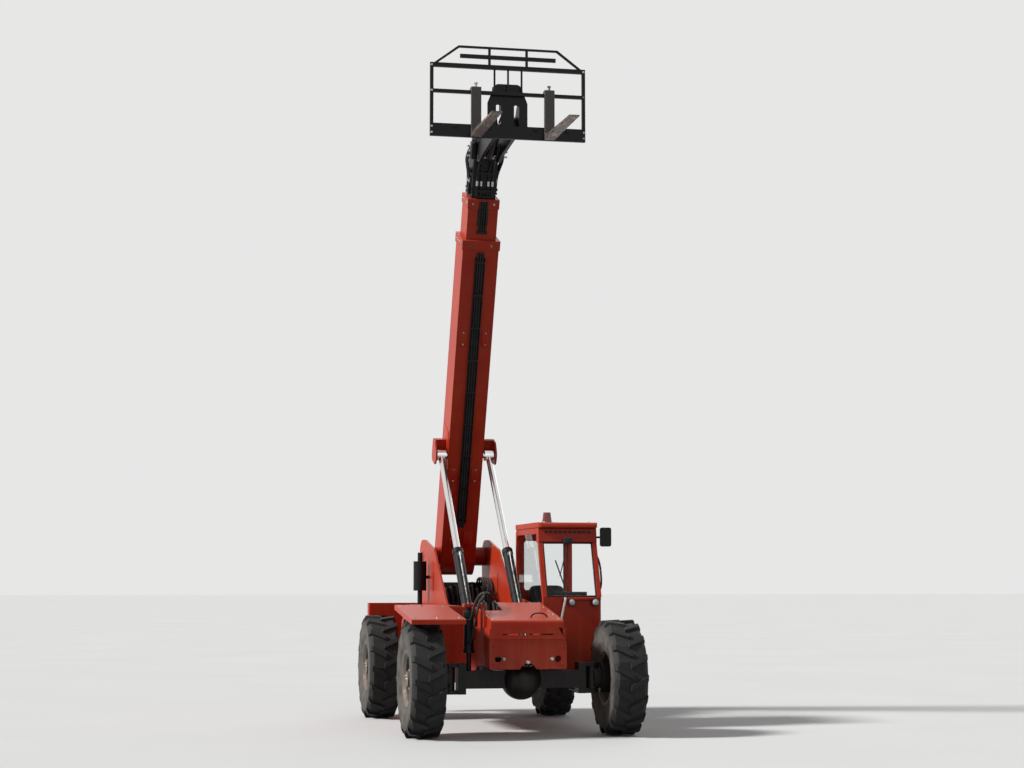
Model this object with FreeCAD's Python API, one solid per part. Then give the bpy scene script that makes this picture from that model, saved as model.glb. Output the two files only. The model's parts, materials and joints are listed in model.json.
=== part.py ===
"""Rough-terrain telehandler, parked with its boom raised and its forks level."""
import FreeCAD, Part
import math
import os

os.makedirs("parts", exist_ok=True)
Vector = FreeCAD.Vector
X_AXIS = Vector(1, 0, 0)
Y_AXIS = Vector(0, 1, 0)

# Millimetres and degrees. The machine faces -Y, its own left side (the cab) is +X, and Z = 0 is the ground.
# Driving dimensions of the running gear
tyre_radius = 630.0            # to the tips of the lugs
tyre_width = 375.0
rim_radius = 300.0
track = 2200.0
wheelbase = 3300.0
kingpin_inset = 300.0          # from the middle of a tyre in to its kingpin
axle_height = tyre_radius

# Driving dimensions of the boom
pivot_behind_rear_axle = 850.0
pivot_height = 2000.0
tail_behind_pivot = 250.0
boom_angle = 68.0              # above the horizontal, as parked
outer_length = 4250.0
outer_width = 450.0
outer_depth = 500.0
outer_wall = 10.0
mid_width = 375.0
mid_depth = 420.0
mid_wall = 9.0
mid_end = 4760.0               # how far the middle section reaches from the pivot
fly_width = 300.0
fly_depth = 340.0
fly_wall = 9.0
fly_end = 5250.0
head_ahead = 550.0
head_reach = fly_end + head_ahead  # from the pivot to the fork pin, along the boom
head_drop = 1100.0             # and down from the boom's axis
tail_radius = 240.0            # the outer section's rounded end, about the pivot
slide_gap = 0.3                # between a wear pad and the section that slides on it
pin_gap = 0.05                 # radial, between a pin and its bore
seat_gap = 0.3

# Driving dimensions of the frame
rail_inner = 400.0
rail_thickness = 25.0
rail_outer = rail_inner + rail_thickness
belly_height = 500.0
nose_ahead = 380.0             # from the front axle to the front plate's outer face
front_plate_thickness = 30.0
front_plate_bottom = 740.0

# Lengthwise places follow from the sizes above, so that the origin stays under the middle of the machine
tail_reach = wheelbase + pivot_behind_rear_axle + tail_behind_pivot
front_axle_y = (tyre_radius - tail_reach) / 2
rear_axle_y = front_axle_y + wheelbase
pivot_y = rear_axle_y + pivot_behind_rear_axle
tail_y = pivot_y + tail_behind_pivot
nose_y = front_axle_y - nose_ahead
wheel_x = track / 2
kingpin_x = wheel_x - kingpin_inset


def behind(distance):
    """The Y of a place that lies so far behind the front axle."""
    return front_axle_y + distance


def block(x, y, z):
    """A box between the two values of each pair."""
    return Part.makeBox(x[1] - x[0], y[1] - y[0], z[1] - z[0], Vector(x[0], y[0], z[0]))


def rod(radius, start, end):
    """A round bar from one point to another."""
    along = end.sub(start)
    return Part.makeCylinder(radius, along.Length, start, along)


def cross_rod(radius, x, y, z):
    """A round bar across the machine."""
    return Part.makeCylinder(radius, x[1] - x[0], Vector(x[0], y, z), X_AXIS)


def outline(corners, place):
    """A closed face through (u, v, radius) corners, each rounded with its radius."""
    points = [Vector(u, v, 0) for u, v, _ in corners]
    edges = []
    starts = []
    ends = []
    middles = []
    for i, (_, _, radius) in enumerate(corners):
        here = points[i]
        back = points[i - 1].sub(here).normalize()
        on = points[(i + 1) % len(points)].sub(here).normalize()
        if radius == 0:
            starts.append(here)
            ends.append(here)
            middles.append(None)
            continue
        half = back.getAngle(on) / 2
        run = radius / math.tan(half)
        centre = here.add(back.add(on).normalize().multiply(radius / math.sin(half)))
        starts.append(here.add(Vector(back).multiply(run)))
        ends.append(here.add(Vector(on).multiply(run)))
        middles.append(centre.add(here.sub(centre).normalize().multiply(radius)))
    for i in range(len(points)):
        if middles[i] is not None:
            edges.append(Part.Arc(place(starts[i]), place(middles[i]), place(ends[i])).toShape())
        after = starts[(i + 1) % len(points)]
        if after.sub(ends[i]).Length > 0.001:
            edges.append(Part.makeLine(place(ends[i]), place(after)))
    return Part.Face(Part.Wire(edges))


def side_plate(corners, x):
    """A profile of (y, z, radius) corners, as thick as the pair of X values."""
    face = outline(corners, lambda p: Vector(x[0], p.x, p.y))
    return face.extrude(Vector(x[1] - x[0], 0, 0))


def front_profile(corners, y):
    """A profile of (x, z, radius) corners, as deep as the pair of Y values."""
    face = outline(corners, lambda p: Vector(p.x, y[0], p.y))
    return face.extrude(Vector(0, y[1] - y[0], 0))


def flat_profile(corners, z):
    """A profile of (x, y, radius) corners, as high as the pair of Z values."""
    face = outline(corners, lambda p: Vector(p.x, p.y, z[0]))
    return face.extrude(Vector(0, 0, z[1] - z[0]))


def frame_ring(x, y, z, wall):
    """A box open at both Y ends."""
    inner = block((x[0] + wall, x[1] - wall), (y[0] - 1, y[1] + 1), (z[0] + wall, z[1] - wall))
    return block(x, y, z).cut(inner)


def joined(pieces):
    """One solid from pieces that touch or overlap."""
    return pieces[0].multiFuse(pieces[1:]).removeSplitter()


def apart(pieces):
    """Like pieces that don't touch, in one node."""
    return Part.makeCompound(pieces)


def mirrored(shape):
    """The same piece on the other side of the machine."""
    return shape.mirror(Vector(0, 0, 0), X_AXIS)


def save(name, shape):
    shape.exportStep(os.path.join("parts", name + ".step"))


# The boom is drawn lying along -Y with its pivot at the origin, then turned up about that pivot
def raised(shape):
    moved = shape.copy()
    moved.rotate(Vector(0, 0, 0), X_AXIS, -boom_angle)
    moved.translate(Vector(0, pivot_y, pivot_height))
    return moved


def on_boom(along, up):
    """The world (y, z) of a place so far along the boom and above its axis."""
    turn = math.radians(boom_angle)
    y = pivot_y - along * math.cos(turn) + up * math.sin(turn)
    z = pivot_height + along * math.sin(turn) + up * math.cos(turn)
    return y, z


# Frame rails
tower_radius = 210.0
pivot_pin_radius = 60.0
rail_pin_hole = pivot_pin_radius + pin_gap
axle_pad_height = 760.0        # underside of the rails over the axles
axle_notch = 320.0             # half the length of that raised stretch
rail_low_top = 1180.0
rail_rise_behind = 900.0
tower_foot_behind = 2300.0     # where the top edge starts to climb to the tower
tower_foot_height = 1400.0
tower_shoulder_behind = 3260.0
tower_shoulder_height = 2080.0
tower_slot_width = 45.0
tower_slot_low = 1540.0
tower_slot_high = 1790.0


def rail(x):
    """One side plate, from the nose to the tower that carries the boom."""
    corners = [
        (nose_y + front_plate_thickness, axle_pad_height, 0),
        (behind(axle_notch), axle_pad_height, 60),
        (behind(axle_notch + 180), belly_height, 60),
        (rear_axle_y - axle_notch - 180, belly_height, 60),
        (rear_axle_y - axle_notch, axle_pad_height, 60),
        (tail_y - 60, axle_pad_height, 0),
        (tail_y - 60, pivot_height - 300, 40),
        (pivot_y + tower_radius, pivot_height, 0),
        (pivot_y + tower_radius, pivot_height + tower_radius, tower_radius - 1),
        (pivot_y - tower_radius, pivot_height + tower_radius, tower_radius - 60),
        (behind(tower_shoulder_behind), tower_shoulder_height, 160),
        (behind(tower_foot_behind), tower_foot_height, 160),
        (behind(rail_rise_behind), rail_low_top, 0),
        (nose_y + front_plate_thickness, rail_low_top, 0),
    ]
    plate = side_plate(corners, x)
    hole = cross_rod(rail_pin_hole, (x[0] - 1, x[1] + 1), pivot_y, pivot_height)
    slot_y = behind(tower_shoulder_behind)
    slot_radius = tower_slot_width / 2 - 1
    slot = side_plate(
        [
            (slot_y, tower_slot_low, slot_radius),
            (slot_y + tower_slot_width, tower_slot_low, slot_radius),
            (slot_y + tower_slot_width, tower_slot_high, slot_radius),
            (slot_y, tower_slot_high, slot_radius),
        ],
        (x[0] - 1, x[1] + 1),
    )
    return plate.cut(hole).cut(slot)


# Levelling cylinder beside the right rail
sway_x = 570.0
sway_behind = 60.0
sway_top = 1400.0
sway_bracket = 35.0
sway_barrel_radius = 55.0
sway_stem_radius = 28.0


def right_rail():
    """The right rail also carries the bracket over the levelling cylinder."""
    y = front_axle_y + sway_behind
    half = sway_barrel_radius + 5
    shelf = block((-sway_x - half, -rail_inner), (y - half, y + half), (sway_top, sway_top + sway_bracket))
    stand = side_plate(
        [
            (y - 2 * half, rail_low_top - 1, 0),
            (y + 2 * half, rail_low_top - 1, 0),
            (y + half, sway_top + sway_bracket, 0),
            (y - half, sway_top + sway_bracket, 0),
        ],
        (-rail_outer, -rail_inner),
    )
    return joined([rail((-rail_outer, -rail_inner)), shelf, stand])


# Nose and deck between the rails
deck_front = 1260.0
deck_rear = 1440.0
deck_length = 1150.0
deck_notch_width = 260.0       # open corner at the right rear, where the hoses pass
deck_notch_length = 520.0
deck_thickness = 12.0
tie_hole_radius = 35.0
tie_hole_spacing = 660.0
tie_hole_height = 850.0
plate_chamfer = 150.0
plate_fold = 1060.0            # height of the rib across the plate
plate_rib = 10.0
plate_slot_length = 260.0
plate_slot_height = 14.0
plate_notch_radius = 95.0


def front_plate():
    """Bumper plate with one clipped upper corner and two tie-down holes."""
    half = rail_outer
    top = rail_low_top
    corners = [
        (-half, front_plate_bottom, 20),
        (half, front_plate_bottom, 20),
        (half, top - plate_chamfer, 10),
        (half - plate_chamfer * 0.6, top, 10),
        (-half, top, 20),
    ]
    plate = front_profile(corners, (nose_y, nose_y + front_plate_thickness))
    for side in (-1, 1):
        x = side * tie_hole_spacing / 2
        start = Vector(x, nose_y - 1, tie_hole_height)
        hole = Part.makeCylinder(tie_hole_radius, front_plate_thickness + 2, start, Y_AXIS)
        plate = plate.cut(hole)
    through = (nose_y - 1, nose_y + front_plate_thickness + 1)
    notch_foot = Vector(0, nose_y - 1, front_plate_bottom - plate_notch_radius / 3)
    plate = plate.cut(Part.makeCylinder(plate_notch_radius, front_plate_thickness + 2, notch_foot, Y_AXIS))
    for x in (-plate_slot_length - 20, 20):
        low = plate_fold + 45
        plate = plate.cut(block((x, x + plate_slot_length), through, (low, low + plate_slot_height)))
    rib = block(
        (-half + 20, half - 20), (nose_y - plate_rib, nose_y + 1), (plate_fold, plate_fold + 2 * plate_rib)
    )
    return joined([plate, rib])


def nose_deck():
    """Sloping cover over the nose, on two ribs between the rails."""
    front = nose_y + front_plate_thickness
    back = front + deck_length
    top = side_plate(
        [
            (front, rail_low_top, 0),
            (front, deck_front, 30),
            (back, deck_rear, 0),
            (back, deck_rear - deck_thickness, 0),
            (front + deck_thickness, deck_front - deck_thickness, 0),
            (front + deck_thickness, rail_low_top, 0),
        ],
        (-rail_inner, rail_inner),
    )
    notch = block(
        (-rail_inner + 12, -rail_inner + deck_notch_width), (back - deck_notch_length, back + 1), (rail_low_top, deck_rear + 1)
    )
    top = top.cut(notch)
    slope = (deck_rear - deck_front) / deck_length
    ribs = []
    for side in (-1, 1):
        x = sorted((side * rail_inner, side * (rail_inner - 12)))
        rib = side_plate(
            [
                (front, axle_pad_height + 40, 0),
                (front, deck_front - deck_thickness, 0),
                (back, deck_front + slope * deck_length - deck_thickness, 0),
                (back, rail_low_top - 60, 0),
                (front + 300, axle_pad_height + 40, 0),
            ],
            x,
        )
        ribs.append(rib)
    return joined([top] + ribs)


# Lift cylinders: their lower pins sit in the frame and their rods end at the boom's sides
lift_x = 305.0
lift_base_behind = 950.0
lift_base_height = 720.0
lift_along = 1450.0
lift_drop = 200.0
lift_bore_radius = 61.0
lift_gland_radius = 66.0
lift_rod_radius = 40.0
lift_barrel_length = 1850.0
lift_bore_start = 120.0
lift_rod_inside = 165.0
lift_eye_radius = 70.0
lift_eye_width = 110.0
lift_pin_radius = 35.0
lift_side_gap = 8.0
lug_thickness = 18.0
lug_radius = 110.0
lug_inner = lift_x + lift_gland_radius + 5.0


def belly():
    """Floor and cross walls between the rails, with the lugs that hold the lift cylinders' lower pin."""
    pan_front = behind(axle_notch + 200)
    pan_back = rear_axle_y - axle_notch - 200
    pan = block((-rail_inner, rail_inner), (pan_front, pan_back), (belly_height, belly_height + 12))
    base_y = behind(lift_base_behind)
    inner_lug = lift_x - lift_gland_radius - lift_side_gap
    pieces = [pan]
    for side in (-1, 1):
        x = sorted((side * inner_lug, side * (inner_lug - lug_thickness)))
        lug = side_plate(
            [
                (base_y - 160, belly_height, 0),
                (base_y + 160, belly_height, 0),
                (base_y + lug_radius, lift_base_height + lug_radius, 90),
                (base_y - lug_radius, lift_base_height + lug_radius, 90),
            ],
            x,
        )
        pieces.append(lug.cut(cross_rod(lift_pin_radius + pin_gap, (x[0] - 1, x[1] + 1), base_y, lift_base_height)))
    wall = block((-rail_inner, rail_inner), (pan_back - 20, pan_back), (belly_height, rail_low_top - 100))
    shaft_hole = rod(2 * shaft_radius, Vector(0, pan_back - 21, shaft_height), Vector(0, pan_back + 1, shaft_height))
    pieces.append(wall.cut(shaft_hole))
    return joined(pieces)


# Gearbox and drive shafts between the two axles
shaft_radius = 38.0
shaft_height = axle_height - 10.0
gearbox_behind = (1430.0, 1830.0)
gearbox_half = 190.0
gearbox_top = 800.0
bowl_radius = 225.0


def drive_line():
    y = (behind(gearbox_behind[0]), behind(gearbox_behind[1]))
    box = flat_profile(
        [(-gearbox_half, y[0], 50), (gearbox_half, y[0], 50), (gearbox_half, y[1], 50), (-gearbox_half, y[1], 50)],
        (belly_height + 12, gearbox_top),
    )
    room = bowl_radius + 0.5
    front = rod(shaft_radius, Vector(0, front_axle_y + room, shaft_height), Vector(0, y[0] + 10, shaft_height))
    rear = rod(shaft_radius, Vector(0, y[1] - 10, shaft_height), Vector(0, rear_axle_y - room, shaft_height))
    pieces = [box, front, rear]
    for place in (front_axle_y + room + 60, y[0] - 90, y[1] + 50, rear_axle_y - room - 100):
        yoke = rod(1.6 * shaft_radius, Vector(0, place, shaft_height), Vector(0, place + 40, shaft_height))
        pieces.append(yoke)
    return joined(pieces)


# Valves on a cross plate under the boom's foot
valve_behind = 3480.0
valve_half = 175.0
valve_low = 1230.0
valve_section = 46.0


def valve_block():
    y = behind(valve_behind)
    plate = block((-rail_inner, rail_inner), (y, y + 16), (valve_low - 60, valve_low + 150))
    body = block((-valve_half, valve_half), (y - 110, y), (valve_low, valve_low + 180))
    pieces = [plate, body]
    count = int(2 * valve_half / valve_section)
    for i in range(count):
        x = -valve_half + (i + 0.5) * valve_section
        spool = rod(17, Vector(x, y - 55, valve_low + 170), Vector(x, y - 55, valve_low + 290))
        port = rod(14, Vector(x, y - 150, valve_low + 60), Vector(x, y - 100, valve_low + 60))
        pieces += [spool, port]
    return joined(pieces)


def lift_base_pin():
    y = behind(lift_base_behind)
    return cross_rod(lift_pin_radius, (-rail_inner, rail_inner), y, lift_base_height)


def lift_line():
    """The lift cylinder's two pins at rest, and the way from one to the other."""
    base = Vector(0, behind(lift_base_behind), lift_base_height)
    y, z = on_boom(lift_along, -lift_drop)
    end = Vector(0, y, z)
    return base, end, end.sub(base).normalize()


def lift_barrel(side):
    base, _, way = lift_line()
    shift = Vector(side * lift_x, 0, 0)
    start = base.add(shift)
    eye = cross_rod(lift_eye_radius, (start.x - lift_eye_width / 2, start.x + lift_eye_width / 2), start.y, start.z)
    tube = rod(lift_bore_radius, start.add(Vector(way).multiply(40)), start.add(Vector(way).multiply(lift_barrel_length)))
    gland = rod(
        lift_gland_radius,
        start.add(Vector(way).multiply(lift_barrel_length - 70)),
        start.add(Vector(way).multiply(lift_barrel_length)),
    )
    body = joined([eye, tube, gland])
    body = body.cut(
        cross_rod(lift_pin_radius + pin_gap, (start.x - lift_eye_width, start.x + lift_eye_width), start.y, start.z)
    )
    bore = rod(
        lift_rod_radius + pin_gap,
        start.add(Vector(way).multiply(lift_bore_start)),
        start.add(Vector(way).multiply(lift_barrel_length + 1)),
    )
    return body.cut(bore)


def lift_rod(side):
    base, end, way = lift_line()
    shift = Vector(side * lift_x, 0, 0)
    eye_centre = end.add(shift)
    eye = cross_rod(
        lift_eye_radius,
        (eye_centre.x - lift_eye_width / 2, eye_centre.x + lift_eye_width / 2),
        eye_centre.y,
        eye_centre.z,
    )
    pin_in = outer_width / 2 + lift_side_gap
    pin_out = lug_inner - lift_side_gap
    pin_x = sorted((side * pin_in, side * pin_out))
    pin = cross_rod(lift_pin_radius, pin_x, eye_centre.y, eye_centre.z)
    start = base.add(shift).add(Vector(way).multiply(lift_barrel_length - lift_rod_inside))
    return joined([rod(lift_rod_radius, start, eye_centre), eye, pin])


# Boom sections, lying along -Y from the pivot
pad_length = 120.0
boss_radius = 120.0
section_start_gap = 30.0
shoe_setback = 480.0


def boom_outer():
    half_w = outer_width / 2
    half_d = outer_depth / 2
    tube = frame_ring((-half_w, half_w), (-outer_length, 0), (-half_d, half_d), outer_wall)
    tail = cross_rod(tail_radius, (-half_w, half_w), 0, 0)
    tail_room = cross_rod(tail_radius - outer_wall, (-half_w + outer_wall, half_w - outer_wall), 0, 0)
    tail = tail.common(block((-half_w, half_w), (-1, tail_radius), (-half_d, half_d))).cut(tail_room)
    pad_w = mid_width / 2 + slide_gap
    pad_d = mid_depth / 2 + slide_gap
    collar = block((-half_w - 12, half_w + 12), (-outer_length, -outer_length + pad_length), (-half_d - 12, half_d + 12))
    mouth = block((-pad_w, pad_w), (-outer_length - 1, -outer_length + pad_length + 1), (-pad_d, pad_d))
    boss_half = rail_inner - 6
    boss = cross_rod(boss_radius, (-boss_half, boss_half), 0, 0)
    pieces = [tube, tail, collar, boss]
    for side in (-1, 1):
        pieces.append(lift_lug(side))
    solid = joined(pieces).cut(mouth)
    return raised(solid.cut(cross_rod(pivot_pin_radius + pin_gap, (-boss_half - 1, boss_half + 1), 0, 0)))


tray_half = 60.0
tray_depth = 36.0
tray_wall = 6.0
tray_start = 560.0
tray_short = 210.0             # of the outer section's mouth
tray_end = outer_length - tray_short


def hose_tray():
    """Channel along the boom's underside, open downward, that guides the hoses."""
    low = -outer_depth / 2 - tray_depth
    top = -outer_depth / 2
    channel = block((-tray_half, tray_half), (-tray_end, -tray_start), (low, top))
    room = block(
        (-tray_half + tray_wall, tray_half - tray_wall), (-tray_end - 1, -tray_start + 1), (low - 1, top - tray_wall)
    )
    return raised(channel.cut(room))


def lift_lug(side):
    """Outer lug beside a lift rod's eye, held off the boom's side by a bridge ahead of the eye."""
    x = sorted((side * lug_inner, side * (lug_inner + lug_thickness)))
    plate = side_plate(
        [
            (-lift_along - 170, -lift_drop + 190, 40),
            (-lift_along - 170, -lift_drop + 20, 60),
            (-lift_along - 60, -lift_drop - lug_radius, 60),
            (-lift_along + lug_radius, -lift_drop - lug_radius, 90),
            (-lift_along + lug_radius, -lift_drop + 190, 60),
        ],
        x,
    )
    bridge_x = sorted((side * outer_width / 2, side * (lug_inner + lug_thickness)))
    bridge = block(bridge_x, (-lift_along - 165, -lift_along + 10), (-lift_drop + 125, -lift_drop + 185))
    return plate.fuse(bridge)


def boom_mid():
    half_w = mid_width / 2
    half_d = mid_depth / 2
    start = -boss_radius - section_start_gap
    tube = frame_ring((-half_w, half_w), (-mid_end, start), (-half_d, half_d), mid_wall)
    shoe_w = outer_width / 2 - outer_wall - slide_gap
    shoe_d = outer_depth / 2 - outer_wall - slide_gap
    shoe_y = (start - shoe_setback, start - shoe_setback + pad_length)
    shoe = block((-shoe_w, shoe_w), shoe_y, (-shoe_d, shoe_d))
    hollow = block((-half_w + mid_wall, half_w - mid_wall), (shoe_y[0] - 1, shoe_y[1] + 1), (-half_d + mid_wall, half_d - mid_wall))
    collar = block((-half_w - 10, half_w + 10), (-mid_end, -mid_end + pad_length), (-half_d - 10, half_d + 10))
    pad_w = fly_width / 2 + slide_gap
    pad_d = fly_depth / 2 + slide_gap
    mouth = block((-pad_w, pad_w), (-mid_end - 1, -mid_end + pad_length + 1), (-pad_d, pad_d))
    return raised(joined([tube, shoe.cut(hollow), collar]).cut(mouth))


def boom_fly():
    half_w = fly_width / 2
    half_d = fly_depth / 2
    start = -boss_radius - 2 * section_start_gap
    tube = frame_ring((-half_w, half_w), (-fly_end, start), (-half_d, half_d), fly_wall)
    shoe_w = mid_width / 2 - mid_wall - slide_gap
    shoe_d = mid_depth / 2 - mid_wall - slide_gap
    shoe_y = (start - shoe_setback, start - shoe_setback + pad_length)
    shoe = block((-shoe_w, shoe_w), shoe_y, (-shoe_d, shoe_d))
    hollow = block((-half_w + fly_wall, half_w - fly_wall), (shoe_y[0] - 1, shoe_y[1] + 1), (-half_d + fly_wall, half_d - fly_wall))
    return raised(joined([tube, shoe.cut(hollow)]))


# Boom head: two side plates that reach down to the fork pin
head_plate_inner = 95.0
head_plate_thickness = 40.0
head_pin_radius = 40.0
head_boss_radius = 110.0
tilt_base_along = 5300.0
tilt_base_up = -320.0


def boom_head():
    inner = head_plate_inner
    outer = inner + head_plate_thickness
    pieces = []
    for side in (-1, 1):
        x = sorted((side * inner, side * outer))
        corners = [
            (-fly_end, fly_depth / 2, 0),
            (-fly_end - 230, fly_depth / 2, 120),
            (-head_reach + 90, -420, 200),
            (-head_reach - head_boss_radius, -head_drop + 100, 60),
            (-head_reach - head_boss_radius, -head_drop - head_boss_radius, head_boss_radius - 1),
            (-head_reach + head_boss_radius, -head_drop - head_boss_radius, head_boss_radius - 1),
            (-fly_end - 130, -600, 200),
            (-fly_end, -fly_depth / 2 - 240, 60),
        ]
        plate = side_plate(corners, x)
        plate = plate.cut(cross_rod(head_pin_radius + pin_gap, (x[0] - 1, x[1] + 1), -head_reach, -head_drop))
        tilt_hole = cross_rod(tilt_pin_radius + pin_gap, (x[0] - 1, x[1] + 1), -tilt_base_along, tilt_base_up)
        pieces.append(plate.cut(tilt_hole))
    top = block((-outer, outer), (-fly_end - 150, -fly_end), (fly_depth / 2 - 12, fly_depth / 2))
    back = block((-outer, outer), (-fly_end - 12, -fly_end), (-fly_depth / 2, fly_depth / 2))
    pieces += [top, back]
    return raised(joined(pieces))


# Tilt cylinder inside the head
tilt_pin_above = 208.0         # the coupler's tilt pin, from the fork pin
tilt_pin_ahead = 120.0
tilt_pin_radius = 25.0
tilt_bore_radius = 50.0
tilt_rod_radius = 28.0
tilt_barrel_length = 620.0
tilt_rod_inside = 200.0
tilt_eye_radius = 48.0
tilt_eye_width = 70.0


def head_pin_place():
    return on_boom(head_reach, -head_drop)


def tilt_line():
    """The tilt cylinder's two pins at rest and the way between them."""
    y, z = on_boom(tilt_base_along, tilt_base_up)
    base = Vector(0, y, z)
    pin_y, pin_z = head_pin_place()
    end = Vector(0, pin_y - tilt_pin_ahead, pin_z + tilt_pin_above)
    return base, end, end.sub(base).normalize()


def head_pins():
    """Fork pin and the tilt cylinder's upper pin, both held in the head's plates."""
    y, z = head_pin_place()
    half = ear_inner + ear_thickness + 12
    fork_pin = cross_rod(head_pin_radius, (-half, half), y, z)
    y, z = on_boom(tilt_base_along, tilt_base_up)
    reach = head_plate_inner + head_plate_thickness
    return apart([fork_pin, cross_rod(tilt_pin_radius, (-reach, reach), y, z)])


def tilt_barrel():
    base, _, way = tilt_line()
    half = tilt_eye_width / 2
    eye = cross_rod(tilt_eye_radius, (-half, half), base.y, base.z)
    tube = rod(tilt_bore_radius, base.add(Vector(way).multiply(35)), base.add(Vector(way).multiply(tilt_barrel_length)))
    body = joined([eye, tube]).cut(cross_rod(tilt_pin_radius + pin_gap, (-half - 30, half + 30), base.y, base.z))
    bore = rod(
        tilt_rod_radius + pin_gap,
        base.add(Vector(way).multiply(80)),
        base.add(Vector(way).multiply(tilt_barrel_length + 1)),
    )
    return body.cut(bore)


def tilt_rod():
    base, end, way = tilt_line()
    half = tilt_eye_width / 2
    eye = cross_rod(tilt_eye_radius, (-half, half), end.y, end.z)
    start = base.add(Vector(way).multiply(tilt_barrel_length - tilt_rod_inside))
    return joined([rod(tilt_rod_radius, start, end), eye])


# Coupler and carriage, placed from the fork pin
ear_inner = 145.0
ear_thickness = 30.0
ear_radius = 85.0
coupler_ahead = 200.0
coupler_thickness = 30.0
coupler_half_width = 235.0
coupler_height = 640.0
coupler_shoulder = 420.0
coupler_slant = 90.0
fork_level_drop = 200.0        # from the fork pin down to the forks' underside
carriage_half_width = 915.0
bar_depth = 40.0
fork_length = 1220.0
fork_thickness = 50.0
fork_tip_thickness = 14.0
fork_width = 115.0
shank_height = 585.0
hook_height = 552.0            # underside of the hook that hangs on the middle bar
hook_reach = 14.0
fork_right_x = -385.0
fork_left_x = 480.0
tilt_lug_inner = 42.0
tilt_lug_thickness = 28.0


def coupler():
    y, z = head_pin_place()
    face = y - coupler_ahead
    low = z - fork_level_drop + 10
    plate = front_profile(
        [
            (-coupler_half_width, low, 30),
            (coupler_half_width, low, 30),
            (coupler_half_width, low + coupler_shoulder, 60),
            (coupler_half_width - coupler_slant, low + coupler_height, 60),
            (-coupler_half_width + coupler_slant, low + coupler_height, 60),
            (-coupler_half_width, low + coupler_shoulder, 60),
        ],
        (face - coupler_thickness, face),
    )
    for side in (-1, 1):
        x = sorted((side * (tilt_lug_inner + tilt_lug_thickness + 6), side * (ear_inner - 8)))
        z_window = (low + 60, low + coupler_shoulder - 20)
        window = front_profile(
            [(x[0], z_window[0], 25), (x[1], z_window[0], 25), (x[1], z_window[1], 25), (x[0], z_window[1], 25)],
            (face - coupler_thickness - 1, face + 1),
        )
        plate = plate.cut(window)
    pieces = [plate]
    for side in (-1, 1):
        x = sorted((side * ear_inner, side * (ear_inner + ear_thickness)))
        ear = side_plate(
            [
                (face - 1, low + 40, 0),
                (y + ear_radius, z - ear_radius, ear_radius - 1),
                (y + ear_radius, z + ear_radius, ear_radius - 1),
                (face - 1, z + coupler_shoulder, 0),
            ],
            x,
        )
        pieces.append(ear.cut(cross_rod(head_pin_radius + pin_gap, (x[0] - 1, x[1] + 1), y, z)))
        x = sorted((side * tilt_lug_inner, side * (tilt_lug_inner + tilt_lug_thickness)))
        lug = side_plate(
            [
                (face - 1, z + tilt_pin_above - 110, 0),
                (y - tilt_pin_ahead + 60, z + tilt_pin_above - 60, 55),
                (y - tilt_pin_ahead + 60, z + tilt_pin_above + 60, 55),
                (face - 1, z + tilt_pin_above + 110, 0),
            ],
            x,
        )
        pieces.append(lug)
    return joined(pieces)


# Bars of the carriage: name, height of the underside above the forks, depth of the bar, half width
middle_bar = 510.0
upper_bar = 810.0
carriage_bars = [
    ("bottom", 0.0, 150.0, 915.0),
    ("middle", middle_bar, 40.0, 915.0),
    ("upper", upper_bar, 50.0, 915.0),
]
post_width = 37.0
guard_bar = 24.0
guard_top = 1050.0
guard_inner = 930.0
guard_half = 585.0
guard_foot = 870.0
upright_height = 860.0         # of the carriage's end posts, which carry the guard
brace_spacing = 160.0


def carriage_plane():
    """The carriage's rear face and the height of its lower edge."""
    y, z = head_pin_place()
    return y - coupler_ahead - coupler_thickness, z - fork_level_drop


def carriage_frame():
    back, low = carriage_plane()
    y = (back - bar_depth, back)
    pieces = []
    for _, height, depth, half in carriage_bars:
        pieces.append(block((-half, half), y, (low + height, low + height + depth)))
    for side in (-1, 1):
        x = sorted((side * carriage_half_width, side * (carriage_half_width - post_width)))
        pieces.append(block(x, y, (low, low + upright_height)))
    for x in (-brace_spacing, 0, brace_spacing):
        z = (low + middle_bar + 30, low + upper_bar + 10)
        pieces.append(block((x - 10, x + 10), (back - 30, back - 10), z))
    return joined(pieces)


def load_guard():
    """The narrower guard on the carriage's top bar, with slanted sides."""
    back, low = carriage_plane()
    foot = low + upright_height
    top = low + guard_top + guard_bar
    outer = [(-guard_foot, foot, 0), (guard_foot, foot, 0), (guard_half, top, 20), (-guard_half, top, 20)]
    drop = guard_bar * 1.6
    inner = [
        (-guard_foot + drop, foot - 1, 0),
        (guard_foot - drop, foot - 1, 0),
        (guard_half - guard_bar / 2, top - guard_bar, 10),
        (-guard_half + guard_bar / 2, top - guard_bar, 10),
    ]
    y = (back - 32, back - 8)
    rim = front_profile(outer, y).cut(front_profile(inner, (y[0] - 1, y[1] + 1)))
    pieces = [rim]
    for x in (-220, 220):
        pieces.append(block((x - 14, x + 14), y, (foot, top - 4)))
    pieces.append(block((-guard_half + 20, guard_half - 20), y, (low + guard_inner, low + guard_inner + 46)))
    return joined(pieces)


def fork(x):
    """One L-shaped fork: shank against the carriage, blade forward, tapering to its tip."""
    back, low = carriage_plane()
    face = back - bar_depth
    front = face - fork_thickness
    tip = front - fork_length
    corners = [
        (face, low, 30),
        (face, low + hook_height, 0),
        (back + hook_reach, low + hook_height, 4),
        (back + hook_reach, low + shank_height, 8),
        (front, low + shank_height, 8),
        (front, low + fork_thickness, 25),
        (tip, low + fork_tip_thickness, 3),
        (tip, low, 3),
    ]
    return side_plate(corners, (x - fork_width / 2, x + fork_width / 2))


# Axles, knuckles and wheels
beam_half_height = 105.0
beam_top = 85.0                # over the axle's middle
beam_half_depth = 95.0
yoke_outer = kingpin_x + 70.0
yoke_inner = kingpin_x - 90.0
yoke_gap = 125.0               # half the height between a yoke's ears
yoke_ear = 42.0
kingpin_radius = 28.0


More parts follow.
